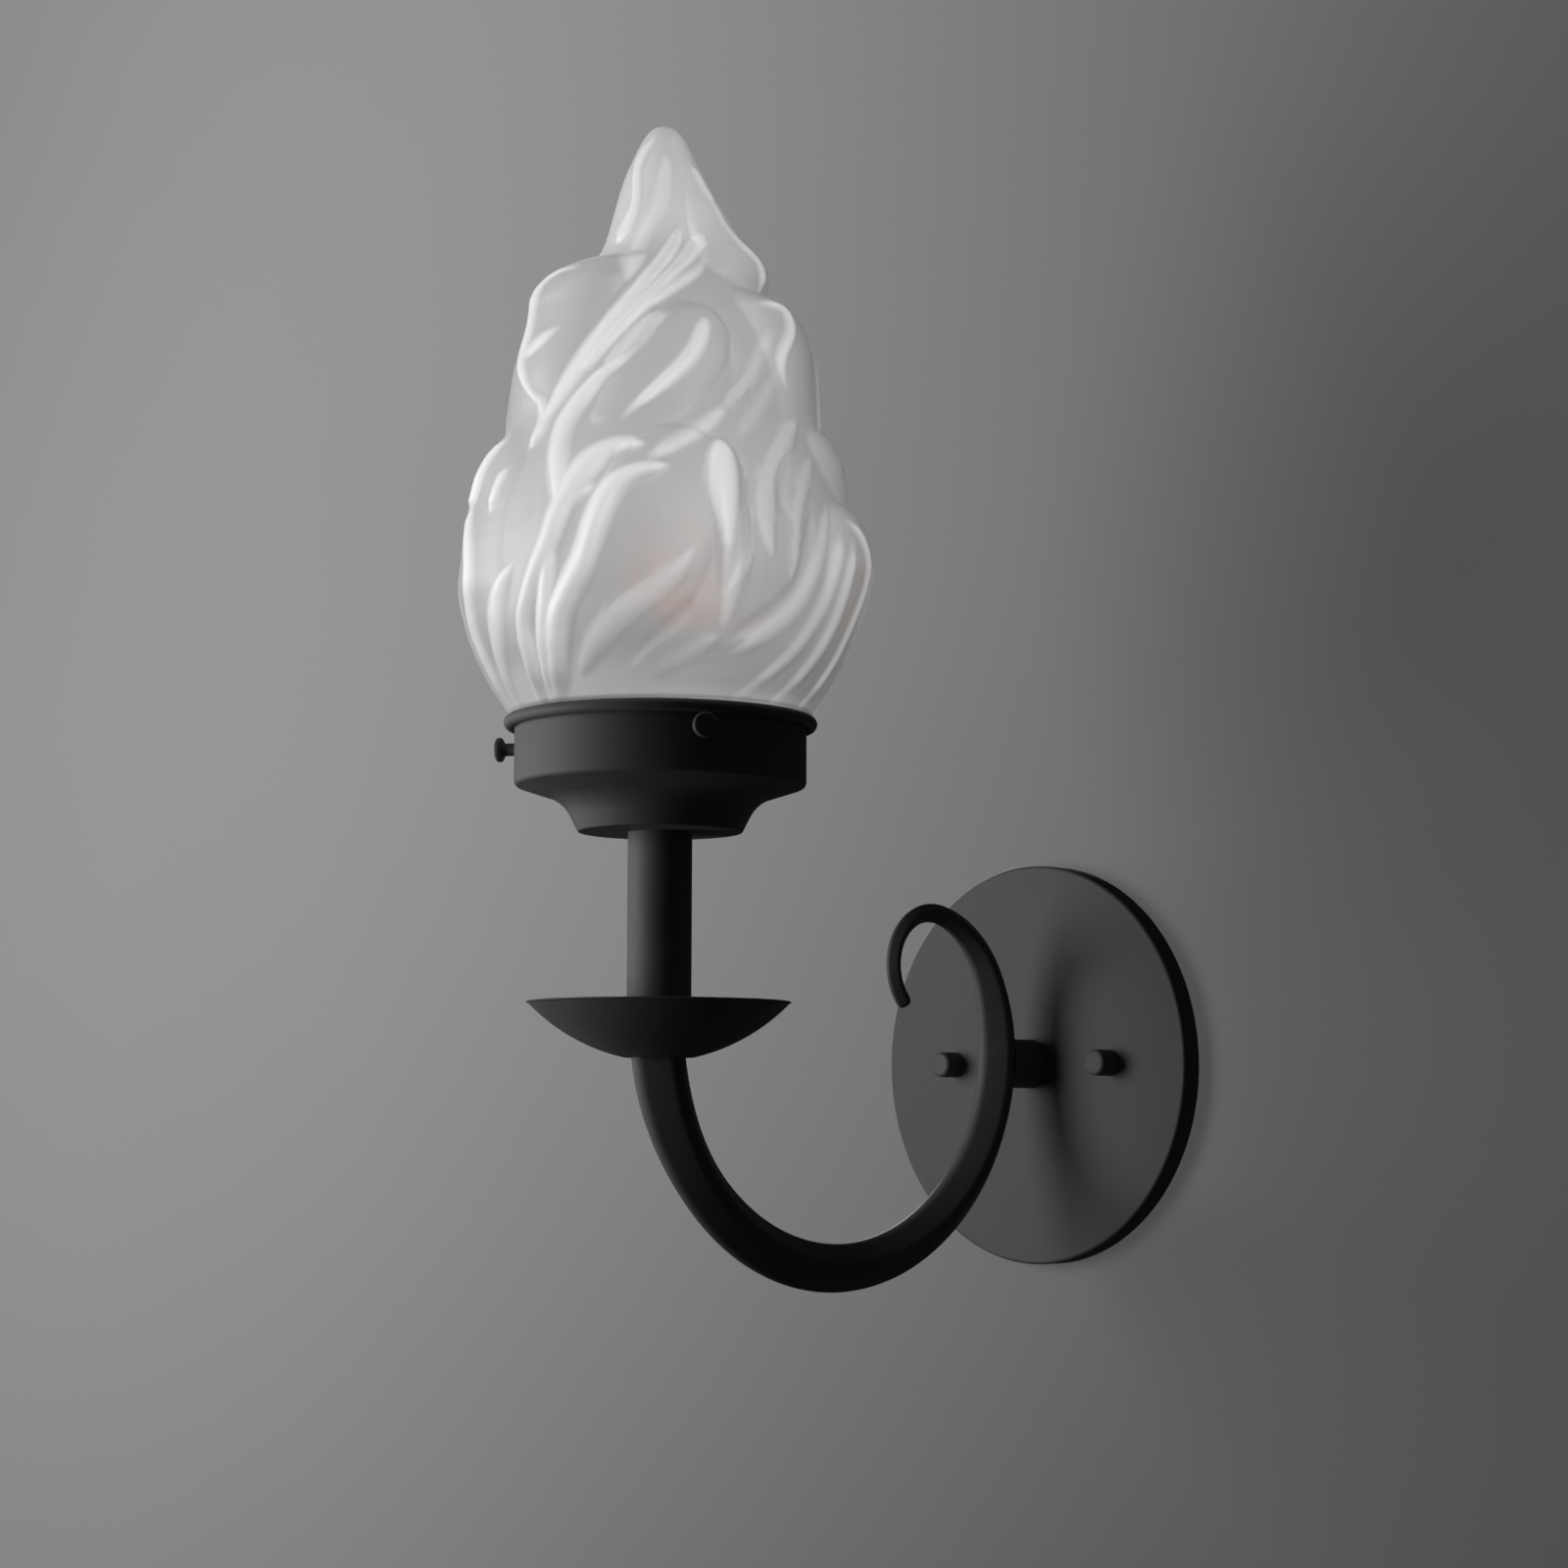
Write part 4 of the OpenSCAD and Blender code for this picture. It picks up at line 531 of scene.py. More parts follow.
def bar_ring(side, n=12):
    """Outline of the bar on edge: a square of the given side with one corner up, and all its corners
    rounded to 0.27 of the side. Gives across and in-plane offsets for every row."""
    q, i = np.meshgrid(np.arange(4), np.arange(n), indexing="ij")
    a = np.radians(90 * q - 45 + 90 * i / (n - 1)).ravel()
    q = np.radians(90 * q.ravel())
    r = 0.27 * side[:, None]
    c = (side[:, None] / 2 - r) * math.sqrt(2)
    return c * np.cos(q) + r * np.cos(a), c * np.sin(q) + r * np.sin(a)


def sweep_rings(path, across, normal):
    """Points of rings carried along the path: across goes along +X and normal along the path's left."""
    h = np.radians(path[:, 2:3])
    return np.stack([across, path[:, 0:1] - np.sin(h) * normal, path[:, 1:2] + np.cos(h) * normal], -1)


def scroll_bar(name):
    """The bar, closed by a level cut under the dish and a domed end at the curl, whose last rings shrink
    by a quarter of a circle and which stands out by 0.45 of the side."""
    path, post = arm_path()
    side = arm_side(path[:, 3], post)
    dome = np.linspace(0, math.pi / 2, 8)[1:-1]
    last, h = path[-1], math.radians(path[-1, 2])
    reach = 0.45 * side[-1]
    on = reach * np.sin(dome)
    tail = np.stack([last[0] + on * math.cos(h), last[1] + on * math.sin(h),
                     np.full(6, last[2]), np.full(6, last[3])], 1)
    path = np.concatenate([path, tail])
    side = np.concatenate([side, side[-1] * np.cos(dome)])
    rings = sweep_rings(path, *bar_ring(side))
    # The first ring is drawn along the bar until it lies level
    h0 = math.radians(path[0, 2])
    lift = (TORCH_Z - rings[0, :, 2]) / math.sin(h0)
    rings[0, :, 1] += lift * math.cos(h0)
    rings[0, :, 2] = TORCH_Z
    # Rings that begin under the dish and would stand above the cut are left out
    above = (rings[:, :, 2].max(1) > TORCH_Z - 0.6) & (path[:, 3] < 14)
    above[0] = False
    rings = rings[~above]
    cols = rings.shape[1]
    k = np.arange(cols)
    start = rings[0].mean(0)
    end = np.array([0, last[0] + reach * math.cos(h), last[1] + reach * math.sin(h)])
    points = np.concatenate([rings.reshape(-1, 3), [start, end]])
    n = len(rings)
    faces = [grid_faces(n, cols)[:, ::-1], fan(k, n * cols),
             fan((n - 1) * cols + k, n * cols + 1, flip=True)]
    return to_mesh(name, points, faces, SHARP)


# ---------------------------------------------------------------- turned ironwork
def holder_outline():
    """Cup that holds the glass: foot, cove, slope, straight skirt and rolled lip, in one closed line."""
    w, bore, stands_at = 1.0, 5.06, 67.6
    base, waist, knee, top = (24.8, 0), (29.4, 9.2), (44.15, 14), (44.15, 31.4)
    roll = np.radians(np.linspace(-135.3, 180, 40))
    lip = np.stack([45.5 + 1.9 * np.cos(roll), 32.8 + 1.9 * np.sin(roll)], 1)
    start, start_in, top_in = (bore, 0), (bore, w), (43.15, 32.8)
    base_in, waist_in, knee_in = (inset(start, base, waist, w), inset(base, waist, knee, w),
                                  inset(waist, knee, top, w))
    outline = np.concatenate([
        [start], rounded(start, base, waist, 0.8), rounded(base, waist, knee, 12, 28),
        rounded(waist, knee, top, 1.6), [(44.15, 30.9)], lip, [top_in],
        rounded(top_in, knee_in, waist_in, 0.6), rounded(knee_in, waist_in, base_in, 13, 28),
        [base_in, start_in]])
    return outline + [0, stands_at]


def dish_outline():
    """Drip dish: an arc from its flat bottom to its rim, and the same arc less the wall's thickness."""
    low, high, bow, wall, bore = np.array([10.5, 0]), np.array([39.8, 16.8]), 58.0, 0.9, 5.06
    half = np.linalg.norm(high - low) / 2
    along = (high - low) / (2 * half)
    c = (low + high) / 2 + math.sqrt(bow**2 - half**2) * np.array([-along[1], along[0]])
    a = np.linspace(math.atan2(*(low - c)[::-1]), math.atan2(*(high - c)[::-1]), 48)
    short = bow - wall
    b = np.linspace(-math.asin((c[1] - high[1]) / short), -math.asin((c[1] - wall) / short), 48)
    outer = c + bow * np.stack([np.cos(a), np.sin(a)], 1)
    inner = c + short * np.stack([np.cos(b), np.sin(b)], 1)
    rim = (outer[-1] + inner[0]) / 2
    out = outer[-1] - inner[0]
    r = np.linalg.norm(out) / 2
    t = np.radians(np.linspace(0, 180, 9))[1:-1, None]
    up = np.array([-out[1], out[0]]) / (2 * r)
    # The rim is a bead, a little flatter than a half circle
    flat = r * 0.7
    bead = rim - [0, flat] + (out / 2) * np.cos(t) + up * r * 0.7 * np.sin(t)
    outer[-1] -= [0, flat]
    inner[0] -= [0, flat]
    return np.concatenate([[(bore, 0)], outer, bead, inner, [(bore, wall)]])


def plate_outline():
    """Canopy pan, opened to the wall: flat front, a small round edge, a straight side. Points are radius
    and depth."""
    outer_r, depth, wall, edge, bore = 66.7, 7.5, 1.5, 1.1, 5.06
    inside = depth - wall
    return np.concatenate([
        [(outer_r - 0.3, 0), (outer_r, 0.3)],
        rounded((outer_r, 0), (outer_r, depth), (0, depth), edge),
        [(40, depth), (20, depth), (bore, depth), (bore, inside), (20, inside), (45, inside)],
        rounded((0, inside), (outer_r - wall, inside), (outer_r - wall, 0), 0.5, 6),
        [(outer_r - wall, 0)]])


def out_of_wall(points):
    """Turns points made about +Z so that +Z points out of the wall, towards -Y."""
    return np.stack([points[:, 0], -points[:, 2], points[:, 1]], 1)


# ---------------------------------------------------------------- finishes
class Finish:
    """A material under construction: its nodes, links and shader, with short calls to add more."""

    def __init__(self, name, **values):
        self.mat = bpy.data.materials.new(name)
        self.mat.use_nodes = True
        self.tree = self.mat.node_tree
        self.shader = self.tree.nodes["Principled BSDF"]
        for key, value in values.items():
            self.shader.inputs[key.replace("_", " ")].default_value = value
        self.place = self.node("ShaderNodeTexCoord").outputs["Object"]

    def node(self, kind, links=(), **settings):
        made = self.tree.nodes.new(kind)
        for key, value in settings.items():
            setattr(made, key, value)
        for socket, value in dict(links).items():
            self.set(made.inputs[socket], value)
        return made

    def set(self, socket, value):
        if isinstance(value, bpy.types.NodeSocket):
            self.tree.links.new(value, socket)
        else:
            socket.default_value = value

    def noise(self, scale, detail=3.0, roughness=0.5, place=None):
        """Noise around a half. Scale is in features a metre, or in each unit of another place."""
        return self.node("ShaderNodeTexNoise", {"Vector": place or self.place, "Scale": scale,
                                                "Detail": detail, "Roughness": roughness}).outputs["Fac"]

    def remap(self, value, low, high, to_low, to_high, smooth=False):
        """The value with low to high stretched to to_low to to_high, and held at both ends."""
        kind = "SMOOTHSTEP" if smooth else "LINEAR"
        return self.node("ShaderNodeMapRange", {"Value": value, "From Min": low, "From Max": high,
                                                "To Min": to_low, "To Max": to_high},
                         interpolation_type=kind).outputs["Result"]

    def math(self, how, a, b=0.0):
        return self.node("ShaderNodeMath", {0: a, 1: b}, operation=how).outputs["Value"]

    def mix(self, share, a, b):
        """Colour a where share is 0 and b where it is 1."""
        made = self.tree.nodes.new("ShaderNodeMix")
        made.data_type = "RGBA"
        self.set(made.inputs[0], share)
        self.set(made.inputs[6], a)
        self.set(made.inputs[7], b)
        return made.outputs[2]

    def bump(self, height, distance, strength):
        """Tilts the surface as a height in units of distance metres would."""
        made = self.node("ShaderNodeBump", {"Height": height, "Distance": distance, "Strength": strength})
        self.tree.links.new(made.outputs["Normal"], self.shader.inputs["Normal"])

    def to(self, socket, value):
        self.set(self.shader.inputs[socket], value)


def tinted(colour, factor):
    """The colour with its red, green and blue times the factor."""
    return tuple(c * factor for c in colour[:3]) + (1.0,)


def black_paint(colour, roughness):
    """Powder coat: a fine grain that tilts the surface, and slow changes of gloss and depth."""
    f = Finish("black_powder_coat", Specular_IOR_Level=0.35)
    grain, cloud = f.noise(1500, 2), f.noise(28, 4, 0.6)
    f.to("Base Color", f.mix(f.remap(cloud, 0.3, 0.7, 0, 1), tinted(colour, 0.85), tinted(colour, 1.15)))
    f.to("Roughness", f.remap(cloud, 0.3, 0.7, roughness - 0.04, roughness + 0.05))
    f.bump(f.math("ADD", grain, f.math("MULTIPLY", f.noise(420, 2), 0.6)), 0.00002, 0.35)
    return f.mat


def frosted_glass(panel, rib, roughness, clearness):
    """Etched glass: the ribs are whiter, partly as thick glass is and partly by a painted highlight, and
    the grooves are darker by painted shade. A fine etched grain and slow waves from the mould tilt the
    surface, and in one patch the lamp's colour is painted faintly and in streaks between the ribs, as if
    seen through the glass."""
    f = Finish("frosted_glass", IOR=1.5, Roughness=roughness, Transmission_Weight=clearness,
               Subsurface_Weight=1.0, Subsurface_Radius=(1, 1, 1), Subsurface_Scale=0.0016,
               Sheen_Weight=0.4, Sheen_Roughness=0.3)
    # The attribute holds the ribs' whiter tone with their painted highlight, and the grooves' painted
    # shade
    white = f.node("ShaderNodeAttribute", attribute_name="painted_light_and_white").outputs["Fac"]
    cloud = f.remap(f.noise(22, 3, 0.55), 0.35, 0.65, -0.06, 0.06)
    colour = f.mix(f.math("ADD", f.remap(white, 0, 1, 0, 1), cloud), panel, rib)
    # Painted shade: the grooves are darkened towards 0.6 of the panel colour
    colour = f.mix(f.remap(white, -1, 0, 1, 0), colour, tinted(panel, 0.6))
    # Painted glimpse of the lamp: its colour is painted into the glass in a soft patch, not seen through
    # it
    where = f.node("ShaderNodeSeparateXYZ", {"Vector": f.place})
    off_x = f.math("ABSOLUTE", f.math("SUBTRACT", where.outputs["X"], WARM_AT[0] * MM))
    off_z = f.math("ABSOLUTE", f.math("SUBTRACT", where.outputs["Z"], WARM_AT[1] * MM))
    patch = f.math("MULTIPLY", f.remap(off_x, WARM_X[0] * MM, WARM_X[1] * MM, 1, 0, True),
                   f.remap(off_z, WARM_Z[0] * MM, WARM_Z[1] * MM, 1, 0, True))
    streaks = f.remap(f.noise(60, 2), 0.4, 0.6, 0.1, 0.26, True)
    warm = f.math("MULTIPLY", f.math("MULTIPLY", patch, streaks), f.remap(white, 0, 0.6, 1, 0.3))
    lamp_colour = (0.95, 0.55, 0.42, 1)
    f.to("Base Color", f.mix(warm, colour, lamp_colour))
    f.bump(f.math("ADD", f.noise(1800, 2), f.math("MULTIPLY", f.noise(60, 2), 1.5)), 0.00004, 0.3)
    return f.mat


def plated(name, colour, roughness):
    """Bare or plated metal: cloudy changes of tone, and fine upright scratches that change its gloss."""
    f = Finish(name, Metallic=1.0)
    cloud = f.noise(120, 4, 0.6)
    scratches = f.node("ShaderNodeMapping", {"Vector": f.place, "Scale": (900, 900, 90)}).outputs["Vector"]
    lines = f.noise(1, 2, place=scratches)
    f.to("Base Color", f.mix(f.remap(cloud, 0.35, 0.7, 0, 1), colour, tinted(colour, 0.75)))
    f.to("Roughness", f.remap(lines, 0.3, 0.7, roughness - 0.06, roughness + 0.08))
    f.bump(lines, 0.00001, 0.3)
    return f.mat


def moulded(name, colour, roughness, speck=0.15):
    """Moulded or painted non-metal: a mottled tone and a soft grain."""
    f = Finish(name)
    cloud = f.noise(250, 3)
    f.to("Base Color", f.mix(f.remap(cloud, 0.35, 0.65, 0, 1), tinted(colour, 1 - speck),
                             tinted(colour, 1 + speck / 2)))
    f.to("Roughness", f.remap(cloud, 0.3, 0.7, roughness - 0.05, roughness + 0.05))
    f.bump(f.noise(1200, 2), 0.00002, 0.3)
    return f.mat


def clear_glass(name, colour, roughness):
    """Clear or tinted glass with faint waves in its surface and its colour."""
    f = Finish(name, IOR=1.5, Roughness=roughness, Transmission_Weight=1.0)
    f.to("Base Color", f.mix(f.remap(f.noise(90, 2), 0.4, 0.6, 0, 1), colour, tinted(colour, 0.94)))
    f.bump(f.noise(140, 2), 0.00003, 0.2)
    return f.mat


def finishes(looks):
    """Material for each of the record's slots."""
    paint = black_paint(looks.paint, looks.paint_roughness)
    return {
        "black_paint": paint,
        "zinc_steel": plated("zinc_steel", (0.62, 0.63, 0.65, 1), 0.34),
        "copper": plated("copper", (0.78, 0.38, 0.24, 1), 0.3),
        "brass": plated("brass", (0.72, 0.53, 0.26, 1), 0.3),
        "solder": plated("solder", (0.5, 0.5, 0.5, 1), 0.4),
        "filament": plated("filament", (0.55, 0.42, 0.3, 1), 0.5),
        "green_paint": moulded("green_paint", (0.02, 0.16, 0.06, 1), 0.35),
        "black_wire": moulded("black_wire", (0.02, 0.02, 0.02, 1), 0.45),
        "white_wire": moulded("white_wire", (0.75, 0.74, 0.7, 1), 0.45, 0.06),
        "liner_card": moulded("liner_card", (0.46, 0.3, 0.16, 1), 0.8),
        "phenolic": moulded("phenolic", (0.035, 0.02, 0.015, 1), 0.3),
        "black_glass": moulded("black_glass", (0.01, 0.01, 0.012, 1), 0.1),
        "frosted_glass": frosted_glass(looks.glass_panel, looks.glass_rib, looks.glass_roughness,
                                       looks.glass_clearness),
        "amber_glass": clear_glass("amber_glass", tuple(looks.lamp_tint), 0.05),
        "stem_glass": clear_glass("stem_glass", (0.95, 0.97, 0.96, 1), 0.04),
    }


# ---------------------------------------------------------------- the stage
# The wall's face lies this far behind the plate's back edge
WALL_Y = 0.4
# Soft lamps at the left: name, place, share of the key lamps' power
KEY_LAMPS = (("key_lamp", (-0.346, -0.6, 0.06), 1), ("side_lamp", (-0.6, -0.32, 0.06), 0.22))
KEY_RADIUS = 0.24
# The lamp behind the wall: place, radius
BACK_LAMP = ((-0.76, 0.48, 0.3), 0.1)
# Lamps of the flame alone: name, place, radius, share of the glass lamps' power
GLASS_LAMPS = (("glass_key", (-0.54, -0.77, 0.26), 0.2, 0.52), ("glass_front", (1.08, -0.64, 0.4), 0.3, 1))
# Lamps of wall and floor alone: name, place, radius, share of the wall lamps' power, the point a cone of
# light is aimed at, and whether the sconce casts a shadow in it
WALL_LAMPS = (
    ("wall_key", (-0.55, -0.76, 0.08), 0.3, 0.055, None, True),
    ("wall_wash", (0.36, -1.552, -0.072), 0.3, 1.12, (-0.52, -1.49, 0.397), False),
    ("wall_even", (0, -6, 1), 0.5, 1.15, None, False))
# Where the camera stands, how it is turned about Z, X and its own axis, its focal length and sensor
CAMERA_AT, CAMERA_TURN = (0.676727, -0.749216, -0.016225), (47.127, 96.324, 0.114)
CAMERA_LENS, CAMERA_SENSOR = 67.93, 36


def one_sided(name, colour, roughness, grain):
    """Painted wall or floor that is seen from its front only: its back lets all light through."""
    f = Finish(name, Roughness=roughness)
    cloud = f.noise(1.5, 4, 0.6)
    f.to("Base Color", f.mix(f.remap(cloud, 0.3, 0.7, 0, 1), tinted(colour, 0.98), tinted(colour, 1.02)))
    f.bump(f.noise(grain, 3), 0.0002, 0.1)
    back = f.node("ShaderNodeNewGeometry").outputs["Backfacing"]
    clear = f.node("ShaderNodeBsdfTransparent").outputs["BSDF"]
    mixed = f.node("ShaderNodeMixShader", {0: back, 1: f.shader.outputs["BSDF"], 2: clear})
    f.tree.links.new(mixed.outputs["Shader"], f.tree.nodes["Material Output"].inputs["Surface"])
    return f.mat


def wall_sheet(name, half, bottom, hole=60, rows=12, cols=256):
    """Flat wall with a round hole behind the plate, where the wall box is. Rings of points go from the
    hole's circle to the edge of a rectangle that reaches half to the sides and up, and bottom down."""
    a = np.radians(np.arange(cols) * 360 / cols)
    c, s = np.cos(a), np.sin(a)
    edge = np.minimum(half / np.maximum(np.abs(c), 1e-9),
                      np.where(s > 0, half, bottom) / np.maximum(np.abs(s), 1e-9))
    t = np.linspace(0, 1, rows)[:, None] ** 2
    r = hole + (edge - hole) * t
    points = np.stack([r * c, np.full(r.shape, WALL_Y), r * s], -1).reshape(-1, 3)
    return to_mesh(name, points, [grid_faces(rows, cols)[:, ::-1]])


def lamp(name, place, radius, power, target=None, cone=160, fade=0.68):
    """Round soft lamp, or with a target one whose light falls to nothing at the cone's angle. It doesn't
    show itself, nor through clear glass."""
    light = bpy.data.lights.new(name, "SPOT" if target else "POINT")
    light.shadow_soft_size, light.energy = radius, power
    obj = bpy.data.objects.new(name, light)
    obj.location = place
    if target:
        light.spot_size, light.spot_blend = math.radians(cone), fade
        obj.rotation_euler = (Vector(target) - Vector(place)).to_track_quat("-Z", "Y").to_euler()
    obj.visible_camera = obj.visible_transmission = False
    bpy.context.scene.collection.objects.link(obj)
    return obj


def pieces_for(name, pieces, state):
    """Collection of the pieces that a lamp is for, where state is INCLUDE, or isn't for, with EXCLUDE."""
    made = bpy.data.collections.new(name)
    for piece in pieces:
        made.objects.link(piece)
    for entry in made.collection_objects:
        entry.light_linking.link_state = state
    return made


def stage_sheets(sizes, looks):
    """The wall and the floor. Neither throws light back on the sconce or shows in its gloss."""
    half, drop = sizes.wall_width / 2 / MM, sizes.floor_drop / MM
    wall = wall_sheet("stage_wall", half, drop)
    wall.data.materials.append(one_sided("wall_paint", looks.wall, 0.6, 900))
    corners = np.array([(-half, WALL_Y, -drop), (-half, -2 * half, -drop), (half, -2 * half, -drop),
                        (half, WALL_Y, -drop)])
    floor = to_mesh("stage_floor", corners, [np.array([[0, 1, 2, 3]])])
    floor.data.materials.append(one_sided("floor_paint", looks.floor, 0.5, 200))
    for sheet in (wall, floor):
        sheet.visible_diffuse = sheet.visible_glossy = False
    return wall, floor


def stage_lamps(looks, sheets, flame):
    """The lamps, each with the pieces that it lights and those that cast shadows in its light."""
    through_flame = pieces_for("through_flame", (flame,), "EXCLUDE")
    on_flame = pieces_for("on_flame", (flame,), "INCLUDE")
    not_on = pieces_for("key_lamps_not_on", (*sheets, flame), "EXCLUDE")
    on_sheets = pieces_for("wall_lamps_on", sheets, "INCLUDE")
    off_sheets = pieces_for("back_lamp_not_on", sheets, "EXCLUDE")

    def add(lit, casting, *values):
        made = lamp(*values)
        made.light_linking.receiver_collection = lit
        if casting:
            made.light_linking.blocker_collection = casting
    for name, place, share in KEY_LAMPS:
        add(not_on, through_flame, name, place, KEY_RADIUS, looks.key_power * share)
    add(off_sheets, off_sheets, "back_lamp", *BACK_LAMP, looks.back_power)
    for name, place, radius, share in GLASS_LAMPS:
        add(on_flame, through_flame, name, place, radius, looks.glass_power * share)
    for name, place, radius, share, target, shadows in WALL_LAMPS:
        power = looks.wall_power * share
        add(on_sheets, None if shadows else on_sheets, name, place, radius, power, target)


def stage_sky(strength):
    """An even white light from all round."""
    world = bpy.data.worlds.new("even_grey")
    world.use_nodes = True
    world.node_tree.nodes["Background"].inputs["Color"].default_value = (1, 1, 1, 1)
    world.node_tree.nodes["Background"].inputs["Strength"].default_value = strength
    return world


def stage_camera():
    """The camera, which looks a little up at the sconce from its right."""
    camera = bpy.data.cameras.new("front_camera")
    camera.lens, camera.sensor_width, camera.sensor_height = CAMERA_LENS, CAMERA_SENSOR, CAMERA_SENSOR
    camera.clip_start, camera.clip_end = 0.01, 50
    obj = bpy.data.objects.new("front_camera", camera)
    turned = Matrix.Translation(CAMERA_AT)
    for angle, axis in zip(CAMERA_TURN, "ZXZ"):
        turned = turned @ Matrix.Rotation(math.radians(angle), 4, axis)
    obj.matrix_world = turned
    bpy.context.scene.collection.objects.link(obj)
    return obj


# ---------------------------------------------------------------- the user's values
class SconceSizes(bpy.types.PropertyGroup):
    """Lengths of the glass and of the stage."""
    glass_wall: bpy.props.FloatProperty(
        name="Glass wall", description="Thickness of the flame's glass", default=0.003,
        min=0.002, max=0.004, subtype="DISTANCE", unit="LENGTH")
    floor_drop: bpy.props.FloatProperty(
        name="Floor drop", description="How far the floor lies below the middle of the plate", default=1.5,
        min=0.5, max=2.5, subtype="DISTANCE", unit="LENGTH")
    wall_width: bpy.props.FloatProperty(
        name="Wall width", description="Width of the stage's wall and floor", default=7.0,
        min=2, max=12, subtype="DISTANCE", unit="LENGTH")


class SconceLooks(bpy.types.PropertyGroup):
    """Colours and gloss of the sconce and of its stage."""
    paint: bpy.props.FloatVectorProperty(
        name="Black paint", description="Colour of the powder coat", size=4, subtype="COLOR",
        default=(0.085, 0.085, 0.086, 1), min=0, max=1)
    paint_roughness: bpy.props.FloatProperty(
        name="Paint roughness", description="0 is glossy and 1 is matt", default=0.62, min=0, max=1,
        subtype="FACTOR")
    glass_panel: bpy.props.FloatVectorProperty(
        name="Glass panels", description="Colour of the thin glass between the ribs", size=4,
        subtype="COLOR", default=(0.59, 0.59, 0.595, 1), min=0, max=1)
    # The ribs' colour is also that of the painted highlight along them
    glass_rib: bpy.props.FloatVectorProperty(
        name="Glass ribs", description="Colour of the thick glass along the ribs", size=4, subtype="COLOR",
        default=(1.0, 1.0, 1.0, 1), min=0, max=1)
    glass_roughness: bpy.props.FloatProperty(
        name="Glass roughness", description="How deep the etch is", default=0.5, min=0, max=1,
        subtype="FACTOR")
    glass_clearness: bpy.props.FloatProperty(
        name="Glass clearness", description="Share of the light that goes through the etched glass",
        default=0, min=0, max=1, subtype="FACTOR")
    lamp_tint: bpy.props.FloatVectorProperty(
        name="Lamp tint", description="Colour of the lamp's glass", size=4, subtype="COLOR",
        default=(0.95, 0.6, 0.3, 1), min=0, max=1)
    wall: bpy.props.FloatVectorProperty(
        name="Wall", description="Colour of the wall", size=4, subtype="COLOR",
        default=(0.27, 0.27, 0.27, 1), min=0, max=1)
    floor: bpy.props.FloatVectorProperty(
        name="Floor", description="Colour of the floor", size=4, subtype="COLOR",
        default=(0.7, 0.7, 0.69, 1), min=0, max=1)
    key_power: bpy.props.FloatProperty(
        name="Key lamps", description="Power of the soft lamps on the left", default=10.5,
        min=0, max=200, subtype="POWER", unit="POWER")
    back_power: bpy.props.FloatProperty(
        name="Back lamp", description="Power of the lamp that shows the sconce's back", default=14,
        min=0, max=200, subtype="POWER", unit="POWER")
    glass_power: bpy.props.FloatProperty(
        name="Glass lamps", description="Power of the soft lamps in front that light the flame alone",
        default=40, min=0, max=200, subtype="POWER", unit="POWER")
    wall_power: bpy.props.FloatProperty(
        name="Wall lamps", description="Power of the lamps that light wall and floor alone", default=142,
        min=0, max=500, subtype="POWER", unit="POWER")
    sky: bpy.props.FloatProperty(
        name="Sky", description="Strength of the even grey light from all round", default=0.02,
        min=0, max=1, subtype="FACTOR")


# Materials by slot, once they are made
MADE = {}


def finish_of(slot):
    """The material of a slot; all are made at the first call."""
    if not MADE:
        MADE.update(finishes(bpy.context.scene.sconce_looks))
    return MADE[slot]


def dress(obj, body, slot, *nodes):
    """A new piece rides on its body, stands for its CAD nodes and takes its slot's finish."""
    obj.data.materials.append(finish_of(slot))
    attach(obj, body)
    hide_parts(*nodes)
    return obj


# ---------------------------------------------------------------- operators
class SCONCE_OT_flame(bpy.types.Operator):
    """Makes the flame of frosted glass"""
    bl_idname = "sconce.flame"
    bl_label = "Glass flame"

    def execute(self, context):
        wall = context.scene.sconce_sizes.glass_wall / MM
        dress(flame_glass("torch_flame", wall), "shade", "frosted_glass", "glass_shade")
        return {"FINISHED"}


class SCONCE_OT_arm(bpy.types.Operator):
    """Makes the square bar that sweeps from the dish to the curl"""
    bl_idname = "sconce.arm"
    bl_label = "Scroll arm"

    def execute(self, context):
        dress(scroll_bar("scroll_bar"), "fixture", "black_paint", "scroll_arm")
        return {"FINISHED"}


class SCONCE_OT_turned(bpy.types.Operator):
    """Makes the turned and pressed ironwork: the cup, the drip dish and the wall plate"""
    bl_idname = "sconce.turned"
    bl_label = "Turned ironwork"

    def execute(self, context):
        for name, outline, place, node in (
                ("glass_cup", holder_outline(), on_torch, "shade_holder"),
                ("wax_dish", dish_outline(), on_torch, "drip_dish"),
                ("wall_plate", plate_outline(), out_of_wall, "backplate")):
            dress(turned_piece(name, outline, place), "fixture", "black_paint", node)
        return {"FINISHED"}


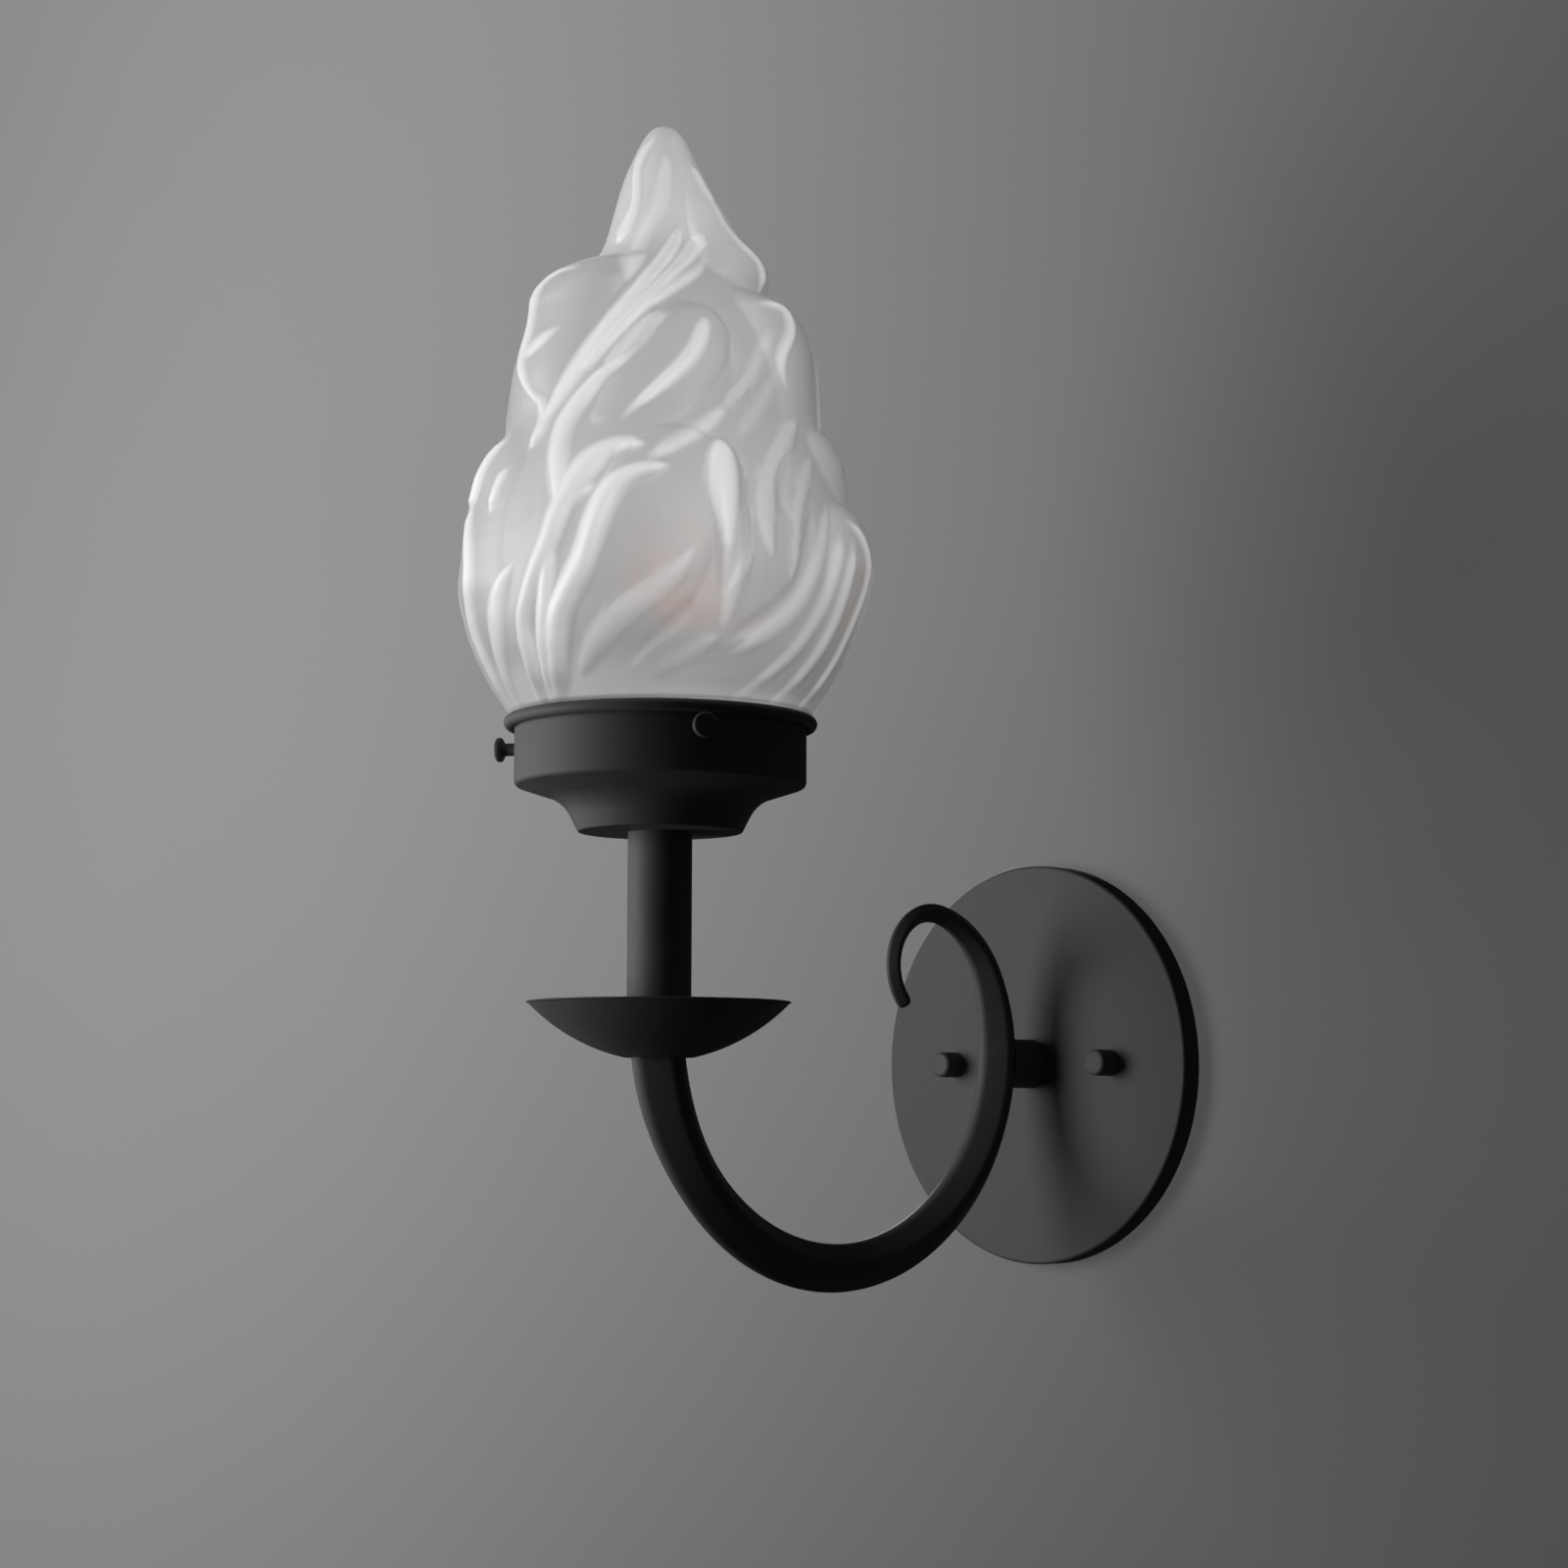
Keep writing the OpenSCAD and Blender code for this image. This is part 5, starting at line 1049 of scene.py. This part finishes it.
class SCONCE_OT_fittings(bpy.types.Operator):
    """Gives every CAD node that still shows the finish of its slot"""
    bl_idname = "sconce.fittings"
    bl_label = "Fittings"

    def execute(self, context):
        MADE.clear()
        for obj in FRAME["nodes"].values():
            obj.data.materials.clear()
        # The plain materials that the nodes came with would keep the slots' names taken
        for plain in [mat for mat in bpy.data.materials if mat.users == 0]:
            bpy.data.materials.remove(plain)
        for part in FRAME["record"]["subparts"]:
            FRAME["nodes"][part["node"]].data.materials.append(finish_of(part["material_slot"]))
        return {"FINISHED"}


class SCONCE_OT_stage(bpy.types.Operator):
    """Makes the wall, the floor, the lamps, the sky and the camera"""
    bl_idname = "sconce.stage"
    bl_label = "Stage"

    def execute(self, context):
        scene, looks = context.scene, context.scene.sconce_looks
        sheets = stage_sheets(scene.sconce_sizes, looks)
        stage_lamps(looks, sheets, bpy.data.objects["torch_flame"])
        scene.world = stage_sky(looks.sky)
        scene.view_settings.view_transform = "Standard"
        scene.camera = stage_camera()
        return {"FINISHED"}


class SCONCE_PT_panel(bpy.types.Panel):
    """Values and makers of the sconce"""
    bl_idname = "SCONCE_PT_panel"
    bl_label = "Torch wall sconce"
    bl_space_type = "VIEW_3D"
    bl_region_type = "UI"
    bl_category = "Sconce"

    def draw(self, context):
        for group in (context.scene.sconce_sizes, context.scene.sconce_looks):
            for key in group.__annotations__:
                self.layout.prop(group, key)
        for maker in MAKERS:
            self.layout.operator(maker.bl_idname)


MAKERS = (SCONCE_OT_flame, SCONCE_OT_arm, SCONCE_OT_turned, SCONCE_OT_fittings, SCONCE_OT_stage)
CLASSES = (SconceSizes, SconceLooks, *MAKERS, SCONCE_PT_panel)


def register():
    for cls in CLASSES:
        bpy.utils.register_class(cls)
    bpy.types.Scene.sconce_sizes = bpy.props.PointerProperty(type=SconceSizes)
    bpy.types.Scene.sconce_looks = bpy.props.PointerProperty(type=SconceLooks)


def unregister():
    del bpy.types.Scene.sconce_looks
    del bpy.types.Scene.sconce_sizes
    for cls in reversed(CLASSES):
        bpy.utils.unregister_class(cls)


def main():
    """Makes everything."""
    register()
    bpy.ops.sconce.fittings()
    bpy.ops.sconce.flame()
    bpy.ops.sconce.arm()
    bpy.ops.sconce.turned()
    bpy.ops.sconce.stage()


if __name__ == "__main__":
    main()
